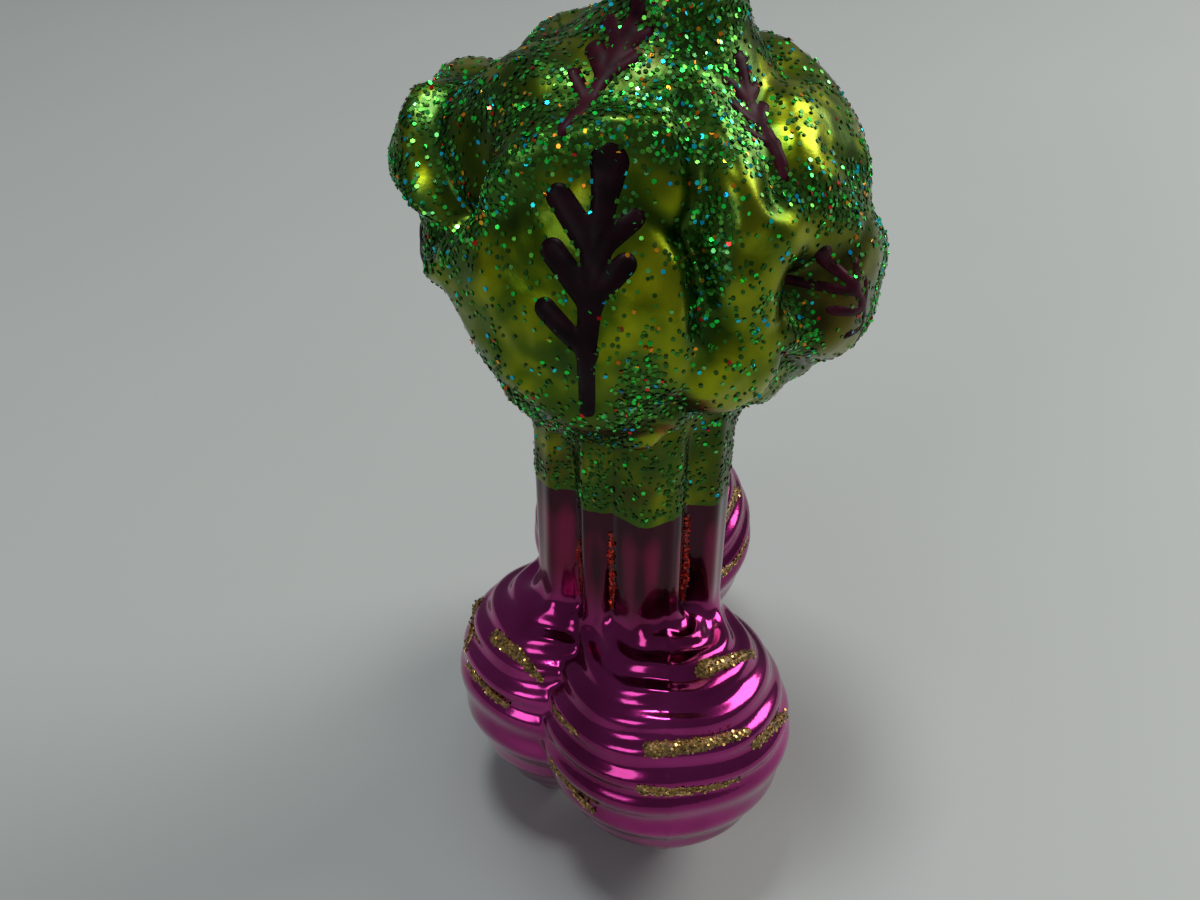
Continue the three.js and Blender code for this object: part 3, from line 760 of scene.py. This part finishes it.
def fold_depth(way):
    """How far the head lies below its surroundings in mm, below zero on a ridge."""
    side = unit_rows(np.cross(way, (0.3, 0.1, 0.95)))
    other = np.cross(way, side)
    around = np.zeros(len(way))
    for turn in np.arange(8) * math.pi / 4:
        moved = way + FOLD_SPAN * (math.cos(turn) * side + math.sin(turn) * other)
        around += head_radius(unit_rows(moved))
    return around / 8 - head_radius(way)


# Flakes per square mm, plain and in clumps, and those added in creases, in bands and at the neck
COLLAR_FLAKES = 1.2
COLLAR_CLUMPS = 2.2
LEAF_FLAKES = 0.5
LEAF_CLUMPS = 1.1
CREASE_FLAKES = 0.9
BAND_FLAKES = 6.5
NECK_FLAKES = 1.6
# Levels between which the leaves begin, the neck's flakes begin and fill in, and all flakes end
LEAVES_FROM = (60, 66)
NECK_FROM = (96, 101)
NECK_FULL_FROM = (103, 105)
BARE_FROM = (107, 109)


def near_level(points, level, spread):
    """1 at a level, fading above and below it."""
    return np.exp(-((points[:, 2] - level) / spread) ** 2)


def glitter_share(points):
    """Flakes per square mm on the green glass."""
    way = from_head(points)[1]
    height = points[:, 2]
    clumps = 0.5 + 0.5 * np.clip(waves(points, 5, 31) + 0.4 * waves(points, 2, 32), -1, 1)
    head = soft_step(*LEAVES_FROM, height)
    collar = (1 - head) * (COLLAR_FLAKES + COLLAR_CLUMPS * clumps)
    leaf = LEAF_FLAKES + LEAF_CLUMPS * clumps ** 2
    leaf = leaf + CREASE_FLAKES * crease_share(way) * clumps + BAND_FLAKES * band_share(way)
    top = NECK_FLAKES * soft_step(*NECK_FROM, height) * clumps
    top = top + NECK_FLAKES * soft_step(*NECK_FULL_FROM, height)
    return (collar + head * (leaf + top)) * (1 - soft_step(*BARE_FROM, height))


# The depth in mm at which the painted shade in a fold is darkest, and the rise in mm at which the
# painted highlight on a ridge is brightest
FOLD_SHADE_FULL = 0.8
RIDGE_HIGHLIGHT_FULL = 1.4
# Flakes per square mm where their glue colours the glass most
GLUE_FULL = 4.5
# Levels between which the painted shade in folds begins to show
FOLD_SHADE_FROM = (64, 70)
# The painted shade line under the leaves and the wine-red tone on the stalks: level and spread
LIP_SHADE_LINE = (63.5, 3)
COLLAR_WINE = (58, 5)
# Painted shade along the folds of the left leaf and over the highlight at its top: strength, half
# width in radians and route
LEFT_FOLD_SHADE = [
    (0.8, 0.15, [(-156, 42), (-152, 34), (-150, 26)]),
    (0.8, 0.045, LEFT_LINE),
    (0.55, 0.08, [(-174, 22), (-164, 19), (-157, 16)]),
    (0.6, 0.07, [(-179, 40), (-178, 35)]),
]
# The left leaf, whose ridges get a weaker painted highlight
LEFT_LEAF = [(-180, 32), (-162, 24)]
# Wine-red spots, in the hollow at the right and by the neck: strength, centre and half sizes
WINE_SPOTS = [
    (0.8, (17, -16, 82), (6, 8, 7)),
    (0.9, (-3.8, -6.6, 104.5), (4, 4, 3.5)),
]

leaf_points = place_array(leaf_skin)
leaf_way = from_head(leaf_points)[1]
density = glitter_share(leaf_points)
give(leaf_skin, "glue", np.clip(density / GLUE_FULL, 0, 0.9))

# Painted shade where the head lies in folds, under the leaves and along the left leaf's folds
depth = fold_depth(leaf_way) * soft_step(*FOLD_SHADE_FROM, leaf_points[:, 2])
under_lip_shade = near_level(leaf_points, *LIP_SHADE_LINE)
left_fold_shade = sum(
    strength * near_route(leaf_way, route, half_width)
    for strength, half_width, route in LEFT_FOLD_SHADE
)
give(leaf_skin, "fold_shade", np.clip(depth / FOLD_SHADE_FULL + 0.75 * under_lip_shade + left_fold_shade, 0, 0.85))
# Painted highlight on the ridges, weaker on the left leaf
ridge_highlight = np.clip(-depth / RIDGE_HIGHLIGHT_FULL, 0, 0.5) * (1 - band_share(leaf_way))
give(leaf_skin, "ridge_highlight", ridge_highlight * (1 - 0.5 * near_route(leaf_way, LEFT_LEAF, 0.3)))

wine = near_level(leaf_points, *COLLAR_WINE)
wine *= np.clip(0.35 + 0.3 * waves(leaf_points, 7, 41), 0, 1)
for strength, centre, size in WINE_SPOTS:
    wine += strength * np.exp(-(((leaf_points - np.array(centre)) / size) ** 2).sum(axis=1))
give(leaf_skin, "wine", np.clip(wine, 0, 0.9))

# The magenta turns wine red up the stalks and dark in streaks, with painted shade under the collar
# at the lacquer line
STALK_TONE_FROM = (34, 42)
STREAKS_FROM = (36, 44)
LINE_SHADE_FROM = (48, 53)
beet_points = place_array(beet_skin)
beet_height = beet_points[:, 2]
give(beet_skin, "stalk", soft_step(*STALK_TONE_FROM, beet_height) * 0.9)
streaks = np.clip(0.35 + 0.5 * waves(beet_points * (1, 1, 0.12), 2.4, 42), 0, 1)
streaks_and_painted_shade = soft_step(*STREAKS_FROM, beet_height) * streaks + soft_step(*LINE_SHADE_FROM, beet_height)
attach(beet_skin, "ornament", "magenta_lacquer", MAGENTA, "beet_glass")
attach(leaf_skin, "ornament", "green_lacquer", GREEN, "leaf_glass")


# Raised paint and glitter lines
STROKE_FILLET = 0.3
# A bead's rounded shoulder, and how far its rim goes above and into the glass
BEAD_SHOULDER = 0.4
BEAD_LIFT = 0.02
BEAD_ROOT = 0.12
RIM_STEP = 0.02
# How finely a ray looks for the glass
CAST_STEPS = 40
CAST_HALVINGS = 9


def facing_plane(azimuth, height, roll=0):
    """A plane's outward direction and its two axes, turned by a roll in degrees."""
    facing = unit(azimuth, height)
    level = unit(azimuth + 90, 0)
    rising = np.cross(facing, level)
    c, s = math.cos(math.radians(roll)), math.sin(math.radians(roll))
    return facing, c * level + s * rising, c * rising - s * level


def stroke_distance(flat, strokes):
    """Distance to the edge of a set of strokes on a plane, below zero inside."""
    field = np.full(len(flat), FAR)
    for stroke in strokes:
        for a, b in zip(stroke, stroke[1:]):
            start, end = np.array(a[:2], float), np.array(b[:2], float)
            line = end - start
            share = np.clip((flat - start) @ line / (line @ line), 0, 1)
            off = np.linalg.norm(flat - start - np.outer(share, line), axis=1)
            field = blend(field, off - (a[2] + (b[2] - a[2]) * share), STROKE_FILLET)
    return field


def cast(field, starts, heading, far):
    """Where rays from starts first meet the field, going along heading for far mm."""
    near_at = np.zeros(len(starts))
    far_at = np.full(len(starts), np.nan)
    for i in range(1, CAST_STEPS + 1):
        distance = far * i / CAST_STEPS
        open_rays = np.isnan(far_at)
        if not open_rays.any():
            break
        hit = np.zeros(len(starts), bool)
        hit[open_rays] = field(starts[open_rays] + heading * distance) < 0
        far_at[hit] = distance
        near_at[open_rays & ~hit] = distance
    met = ~np.isnan(far_at)
    for _ in range(CAST_HALVINGS):
        middle = (near_at + far_at) / 2
        inside = np.zeros(len(starts), bool)
        inside[met] = field(starts[met] + heading * middle[met][:, None]) < 0
        far_at = np.where(inside, middle, far_at)
        near_at = np.where(inside, near_at, middle)
    return starts + heading * far_at[:, None], met


def renumbered(faces, count):
    """Faces on the points that they use, and which of the count points those are."""
    used = np.unique(faces)
    number = np.full(count, -1)
    number[used] = np.arange(len(used))
    return number[faces], used


def open_sides(faces):
    """The sides that only one quad has."""
    sides = quad_sides(faces)
    count = faces.max() + 1
    there = sides[:, 0] * count + sides[:, 1]
    back = sides[:, 1] * count + sides[:, 0]
    return sides[~np.isin(there, back)]


def bead(name, strokes, plane, centre, reach, height, rough, field, cell):
    """A raised bead on the glass along strokes, which are drawn on a plane that faces it."""
    facing, level, rising = plane
    spots = np.array([point for stroke in strokes for point in stroke])
    margin = spots[:, 2].max() + 2 * cell
    low = spots[:, :2].min(axis=0) - margin
    counts = np.ceil((spots[:, :2].max(axis=0) + margin - low) / cell).astype(int) + 1
    flat = np.indices(counts).reshape(2, -1).T * cell + low
    shown = (stroke_distance(flat, strokes) < 0).reshape(counts)
    i, j = np.argwhere(shown[:-1, :-1] & shown[1:, :-1] & shown[:-1, 1:] & shown[1:, 1:]).T
    grid = np.arange(len(flat)).reshape(counts)
    faces = np.stack([grid[i, j], grid[i + 1, j], grid[i + 1, j + 1], grid[i, j + 1]], axis=1)
    faces, used = renumbered(faces, len(flat))
    flat = flat[used]

    # The rim's points move out to the stroke's edge
    rim = np.unique(open_sides(faces))
    for _ in range(3):
        here = stroke_distance(flat[rim], strokes)
        slope = np.stack([
            stroke_distance(flat[rim] + step, strokes) - here
            for step in (np.array((RIM_STEP, 0)), np.array((0, RIM_STEP)))
        ], axis=1) / RIM_STEP
        flat[rim] -= here[:, None] * slope / np.maximum((slope ** 2).sum(axis=1), 0.2)[:, None]

    starts = np.array(centre) + facing * reach + flat[:, :1] * level + flat[:, 1:] * rising
    ground, met = cast(field, starts, -facing, reach)
    if not met.all():
        faces, used = renumbered(faces[met[faces].all(axis=1)], len(flat))
        flat, ground = flat[used], ground[used]
    outward = normals_of(field, ground)
    inset = np.maximum(-stroke_distance(flat, strokes), 0)
    rise = height * (1 - np.exp(-inset / BEAD_SHOULDER)) * (1 + rough * waves(ground, 0.9, 51))
    top = ground + outward * (rise + BEAD_LIFT)[:, None]
    under = ground - outward * BEAD_ROOT
    count = len(flat)
    sides = open_sides(faces)
    walls = np.stack([sides[:, 1], sides[:, 0], sides[:, 0] + count, sides[:, 1] + count], axis=1)
    all_faces = np.concatenate([faces, faces[:, ::-1] + count, walls])
    obj = add_mesh(name, np.concatenate([top, under]), all_faces)
    return obj, ground, outward, rise


# One vein: x, y and half width along each stroke
VEIN_STROKES = [
    [
        (-0.4, -11.8, 0.8), (-0.2, -5.6, 0.9), (0, 0.4, 1.2),
        (0.2, 5, 1.4), (0.3, 8.6, 1.1), (0.4, 12, 1.8),
    ],
    [(-3.8, 8.8, 1.2), (0, 4.6, 1.3)],
    [(-3.8, 4, 1.3), (0, 0, 1.3)],
    [(-4.3, -1.4, 1.1), (0, -5, 1)],
    [(3, 7.4, 1), (0.4, 4.8, 1)],
    [(2.8, 3.6, 1.1), (0.4, 0.6, 1.1)],
]
# Each leaf's vein: name, azimuth, height, roll, size and width
VEINS = [
    ("front", -104, 14, 0, 1, 1),
    ("top", -114, 66, -6, 0.66, 1.1),
    ("right", -32, 0, 30, 0.66, 0.6),
    ("upper_right", -45, 51, -14, 0.5, 1.1),
    ("left", -172, -14, 0, 0.7, 1),
    ("rear_left", 136, 8, 0, 0.9, 1),
    ("rear", 88, 4, 0, 0.9, 1),
    ("rear_right", 40, 0, 0, 0.9, 1),
]
DARK_VEIN = vein_enamel("maroon_enamel", (0.004, 0.0004, 0.0015), (0.014, 0.001, 0.0045))
PINK_VEIN = vein_enamel("thin_maroon_enamel", (0.022, 0.002, 0.006), (0.065, 0.006, 0.017))


def scaled(strokes, size, width):
    """Strokes drawn at another size, with their widths changed besides."""
    return [
        [(x * size, y * size, half * size * width) for x, y, half in stroke]
        for stroke in strokes
    ]


for name, azimuth, height, roll, size, width in VEINS:
    obj, *_ = bead(
        f"vein_{name}", scaled(VEIN_STROKES, size, width), facing_plane(azimuth, height, roll),
        HEAD_CENTRE, reach=32, height=0.24, rough=0.05, field=upper_field, cell=0.26,
    )
    paint = PINK_VEIN if name in ("top", "upper_right", "right") else DARK_VEIN
    attach(obj, "ornament", "maroon_enamel", paint, f"vein_paint_{name}")

# Gold lines: the beet, and azimuth, height and half width along the route
GOLD_LINES = [
    ("front", [(-50, 66, 1), (-21, 60, 0.7), (2, 46, 0.4)]),
    ("front", [(-100, 36, 0.9), (-74, 37, 0.7), (-45, 33, 0.4)]),
    ("front", [(-42, 25, 0.8), (-27, 22, 0.6), (-12, 16, 0.4)]),
    ("front", [(-102, 17, 0.8), (-81, 17, 0.5), (-56, 14, 0.3)]),
    ("front", [(-164, 24, 0.5), (-154, 26, 0.5), (-142, 28, 0.4)]),
    ("front", [(-152, 2, 0.5), (-142, -4, 0.5), (-126, -8, 0.4)]),
    ("left", [(-150, 45, 0.9), (-126, 46, 0.7), (-104, 38, 0.4)]),
    ("left", [(-162, 16, 0.4), (-146, 18, 0.5), (-122, 16, 0.3)]),
    ("left", [(160, 30, 0.8), (176, 28, 0.7), (-168, 22, 0.4)]),
    ("rear", [(-6, 30, 0.7), (-22, 32, 0.6), (-38, 30, 0.4)]),
    ("rear", [(-50, 4, 0.8), (-36, 4, 0.6), (-20, 8, 0.4)]),
    ("rear", [(60, 34, 0.9), (84, 36, 0.7), (108, 32, 0.4)]),
    ("rear", [(96, 12, 0.8), (120, 14, 0.6), (144, 12, 0.4)]),
]
GOLD_GLUE = glitter_glue("gold_glitter", (0.06, 0.03, 0.008), (0.42, 0.24, 0.06))
RED_GLUE = glitter_glue("red_glitter", (0.06, 0.003, 0.006), (0.3, 0.012, 0.012))

# Loose flakes: their thickness and sizes across
FLAKE_THICK = 0.03
GREEN_SIZE = 0.4
FINE_SIZE = 0.3


def hex_flakes(name, places, outward, across, seed, tilt):
    """Thin six-sided flakes lying on the glass, each turned and tilted by chance."""
    rng = np.random.default_rng(seed)
    count = len(places)
    side = unit_rows(np.cross(outward, rng.normal(size=(count, 3))))
    lean = np.radians(rng.normal(0, tilt, size=count).clip(-2.2 * tilt, 2.2 * tilt))
    other = np.cross(outward, side)
    facing = outward * np.cos(lean)[:, None] + other * np.sin(lean)[:, None]
    other = np.cross(facing, side)
    radius = across / math.sqrt(3) * rng.uniform(0.85, 1.1, size=count)
    rise = rng.uniform(0.03, 0.1, size=count) + 0.1 * np.sin(np.abs(lean))
    middle = places + outward * rise[:, None]
    corners = []
    for level in (FLAKE_THICK / 2, -FLAKE_THICK / 2):
        for k in range(6):
            angle = math.pi * k / 3
            corners.append(
                middle + facing * level
                + side * (radius * math.cos(angle))[:, None]
                + other * (radius * math.sin(angle))[:, None]
            )
    corners = np.stack(corners, axis=1).reshape(-1, 3)
    first = np.arange(count)[:, None] * 12
    quads = [(0, 1, 2, 3), (0, 3, 4, 5), (9, 8, 7, 6), (11, 10, 9, 6)]
    quads += [(k, k + 6, (k + 1) % 6 + 6, (k + 1) % 6) for k in range(6)]
    faces = np.concatenate([first + np.array(quad) for quad in quads])
    return add_mesh(name, corners, faces, smooth=False)


def scatter(obj, per_mm2, seed):
    """Random points on a mesh, with the given number per square mm at each vertex."""
    rng = np.random.default_rng(seed)
    mesh = obj.data
    mesh.calc_loop_triangles()
    corners = np.empty(len(mesh.loop_triangles) * 3, np.int32)
    mesh.loop_triangles.foreach_get("vertices", corners)
    corners = corners.reshape(-1, 3)
    places = place_array(obj)
    a, b, c = (places[corners[:, k]] for k in range(3))
    area = np.linalg.norm(np.cross(b - a, c - a), axis=1) / 2
    weight = area * per_mm2[corners].mean(axis=1)
    count = rng.poisson(weight.sum())
    chosen = rng.choice(len(corners), size=count, p=weight / weight.sum())
    u, v = rng.random((2, count))
    over = u + v > 1
    u[over], v[over] = 1 - u[over], 1 - v[over]
    return a[chosen] + (b - a)[chosen] * u[:, None] + (c - a)[chosen] * v[:, None]


# Glitter families: share, darkest and lightest colour, metal, roughness and tilt in degrees
FLAKE_LOOKS = [
    ("dark_green", 0.48, (0.02, 0.07, 0.008), (0.045, 0.18, 0.02), 0.8, 0.3, 9),
    ("green", 0.3, (0.035, 0.2, 0.015), (0.1, 0.4, 0.04), 0.85, 0.25, 12),
    ("mint", 0.06, (0.08, 0.4, 0.1), (0.2, 0.66, 0.22), 0.9, 0.22, 18),
    ("bright_green", 0.09, (0.0, 0.85, 0.07), (0.06, 1.0, 0.12), 0.75, 0.2, 28),
    ("cyan", 0.04, (0.0, 0.4, 0.8), (0.01, 0.9, 0.8), 0.75, 0.2, 28),
    ("orange", 0.02, (0.95, 0.2, 0.01), (1.0, 0.55, 0.02), 0.75, 0.2, 28),
    ("red", 0.01, (0.6, 0.01, 0.01), (0.95, 0.05, 0.03), 0.75, 0.2, 28),
]
# Levels between which flakes lie, and below which most of them are dark
FLAKE_FOOT = LACQUER_LEVEL + 0.4
FLAKE_TOP = 108.2
DARK_BELOW = 64
DARK_SHARE = 0.75
spots = scatter(leaf_skin, density, SEED)
spots = spots[(spots[:, 2] > FLAKE_FOOT) & (spots[:, 2] < FLAKE_TOP)]
spots = onto(upper_field, spots, 2)
outward = normals_of(upper_field, spots)
kind_rng = np.random.default_rng(SEED + 1)
kinds = kind_rng.choice(len(FLAKE_LOOKS), size=len(spots), p=[look[1] for look in FLAKE_LOOKS])
kinds[(kind_rng.random(len(spots)) < DARK_SHARE) & (spots[:, 2] < DARK_BELOW)] = 0
for kind, (name, _, dark, light, metallic, roughness, tilt) in enumerate(FLAKE_LOOKS):
    name = f"glitter_{name}"
    chosen = kinds == kind
    seed = SEED + 10 + kind
    flakes = hex_flakes(name, spots[chosen], outward[chosen], GREEN_SIZE, seed, tilt)
    attach(flakes, "ornament", "green_lacquer", flake(name, dark, light, metallic, roughness))

GOLD_FLAKE = flake("gold_flakes", (0.22, 0.12, 0.03), (0.85, 0.58, 0.2), 0.95, 0.22)
RED_FLAKE = flake("red_flakes", (0.5, 0.008, 0.006), (1.0, 0.09, 0.04), 0.7, 0.22)


def on_bead(ground, outward, rise, share, seed):
    """Places and outward directions for flakes on a bead."""
    rng = np.random.default_rng(seed)
    chosen = rng.random(len(ground)) < share
    jitter = rng.normal(0, 0.05, size=(chosen.sum(), 3))
    return ground[chosen] + outward[chosen] * rise[chosen][:, None] + jitter, outward[chosen]


gold_places = []
numbers = dict.fromkeys(BEETS, 0)
for beet_name, route in GOLD_LINES:
    numbers[beet_name] += 1
    beet = BEETS[beet_name]
    plane = facing_plane(route[1][0], route[1][1])
    stroke = []
    for azimuth, height, half_width in route:
        way = unit(azimuth, height) * beet["radius"]
        stroke.append((way @ plane[1], way @ plane[2], half_width))
    name = f"{beet_name}_{numbers[beet_name]}"
    obj, ground, out, rise = bead(
        f"gold_glitter_{name}", [stroke], plane, beet["centre"],
        reach=beet["radius"] * 1.3, height=0.4, rough=0.2, field=beets_field, cell=0.24,
    )
    attach(obj, "ornament", "gold_glitter", GOLD_GLUE, f"gold_line_{name}")
    gold_places.append(on_bead(ground, out, rise, share=0.4, seed=SEED + 40 + len(gold_places)))
flakes = hex_flakes(
    "gold_flakes", *(np.concatenate(part) for part in zip(*gold_places)),
    across=FINE_SIZE, seed=SEED + 70, tilt=22,
)
attach(flakes, "ornament", "gold_glitter", GOLD_FLAKE)

# Red glitter in the grooves between neighbouring stalks: which two, and from what level to what
RED_LINES = [
    (0, 1, 37, 46), (1, 2, 38, 50), (2, 3, 38, 52), (3, 4, 36, 50),
    (5, 6, 40, 51), (6, 7, 40, 50), (7, 8, 38, 49),
]


def stalk_at(stalk, level):
    """A stalk's middle and radius at a level."""
    foot, top, foot_radius, top_radius = stalk
    share = (level - foot[2]) / (top[2] - foot[2])
    middle = np.array(foot[:2]) + (np.array(top[:2]) - foot[:2]) * share
    return middle, foot_radius + (top_radius - foot_radius) * share


def groove_way(first, second, level):
    """The level direction from the core out through the groove between two stalks."""
    a, radius_a = stalk_at(STALKS[first], level)
    b, radius_b = stalk_at(STALKS[second], level)
    gap = np.linalg.norm(b - a)
    along = (gap ** 2 + radius_a ** 2 - radius_b ** 2) / (2 * gap)
    out = math.sqrt(max(radius_a ** 2 - along ** 2, 0))
    line = (b - a) / gap
    spot = a + line * along + np.array((line[1], -line[0])) * out
    core = stalk_at(STALK_CORE, level)[0]
    return core, spot - core


red_places = []
for number, (first, second, low_level, high_level) in enumerate(RED_LINES, 1):
    middle = (low_level + high_level) / 2
    half = (high_level - low_level) / 2
    core, away = groove_way(first, second, middle)
    azimuth = math.degrees(math.atan2(away[1], away[0]))
    stroke = [
        (0, -half, 0.25), (0.15, -half * 0.3, 0.35), (-0.15, half * 0.4, 0.3), (0, half, 0.25),
    ]
    obj, ground, out, rise = bead(
        f"red_glitter_{number}", [stroke], facing_plane(azimuth, 0), (*core, middle),
        reach=20, height=0.3, rough=0.25, field=upper_field, cell=0.15,
    )
    attach(obj, "ornament", "red_glitter", RED_GLUE, f"red_line_{number}")
    red_places.append(on_bead(ground, out, rise, share=0.3, seed=SEED + 80 + number))
    # Painted shade runs along the groove beside the line
    off = np.linalg.norm(beet_points[:, :2] - core - away, axis=1)
    beyond = np.maximum(np.abs(beet_height - middle) - half, 0)
    streaks_and_painted_shade += np.exp(-(off / 1.2) ** 2 - (beyond / 1.5) ** 2)
flakes = hex_flakes(
    "red_flakes", *(np.concatenate(part) for part in zip(*red_places)),
    across=FINE_SIZE, seed=SEED + 90, tilt=25,
)
attach(flakes, "ornament", "red_glitter", RED_FLAKE)
give(beet_skin, "shade", np.clip(streaks_and_painted_shade, 0, 0.9))

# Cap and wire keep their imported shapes
CAP_METAL = stamped_metal("gold_metal", (0.5, 0.36, 0.13), (0.75, 0.58, 0.27), 0.3)
WIRE_METAL = stamped_metal("spring_wire", (0.45, 0.38, 0.24), (0.7, 0.62, 0.44), 0.32)
for node, look in (("hanger_cap", CAP_METAL), ("hanger_wire", WIRE_METAL)):
    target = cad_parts[node]
    target.data.materials.clear()
    target.data.materials.append(look)


# Floor, light and camera
FLOOR_LIGHT = (0.455, 0.475, 0.455)
FLOOR_DARK = tuple(c * 0.97 for c in FLOOR_LIGHT)
bpy.ops.mesh.primitive_plane_add(size=6, location=(0, 0, 0))
floor = bpy.context.object
floor.name = "floor"
floor.data.materials.append(plain_paper("floor_paper", FLOOR_DARK, FLOOR_LIGHT))

world = bpy.data.worlds.new("studio")
bpy.context.scene.world = world
world.use_nodes = True
background = world.node_tree.nodes["Background"]
background.inputs["Color"].default_value = (0.86, 0.92, 1, 1)
background.inputs["Strength"].default_value = 0.15

# The place in metres at which all lamps aim
LIT = Vector((0, 0, 0.07))


def lamp(name, place, size, power, colour):
    """A rectangular lamp at a place in metres."""
    data = bpy.data.lights.new(name, "AREA")
    data.shape = "RECTANGLE"
    data.size, data.size_y = size
    data.energy = power
    data.color = colour
    obj = bpy.data.objects.new(name, data)
    obj.location = place
    obj.rotation_euler = (LIT - Vector(place)).to_track_quat("-Z", "Y").to_euler()
    bpy.context.scene.collection.objects.link(obj)


# Each lamp's place and size in metres, watts and colour
lamp("window", (0.55, 0.25, 0.5), (0.35, 0.5), 3.6, (1, 0.98, 0.95))
lamp("ceiling", (-0.1, 0.05, 0.9), (0.22, 0.16), 3, (0.95, 0.98, 1))
lamp("front", (-0.5, -0.6, 0.45), (0.3, 0.3), 0.9, (0.95, 0.97, 1))

# The camera fitted to the photograph: place in design mm, tilt from straight down and lens
CAMERA_PLACE = (-6.9, -115.5, 142.2)
CAMERA_TILT = 52
LENS = 36.39
camera_data = bpy.data.cameras.new("camera")
camera_data.sensor_width = 36
camera_data.lens = LENS
camera_data.clip_start = 0.005
camera = bpy.data.objects.new("camera", camera_data)
camera.location = (np.array(CAMERA_PLACE) + SHIFT) * MM
camera.rotation_euler = Euler((math.radians(CAMERA_TILT), 0, 0))
bpy.context.scene.collection.objects.link(camera)
bpy.context.scene.camera = camera

bpy.context.scene.view_settings.view_transform = "Standard"
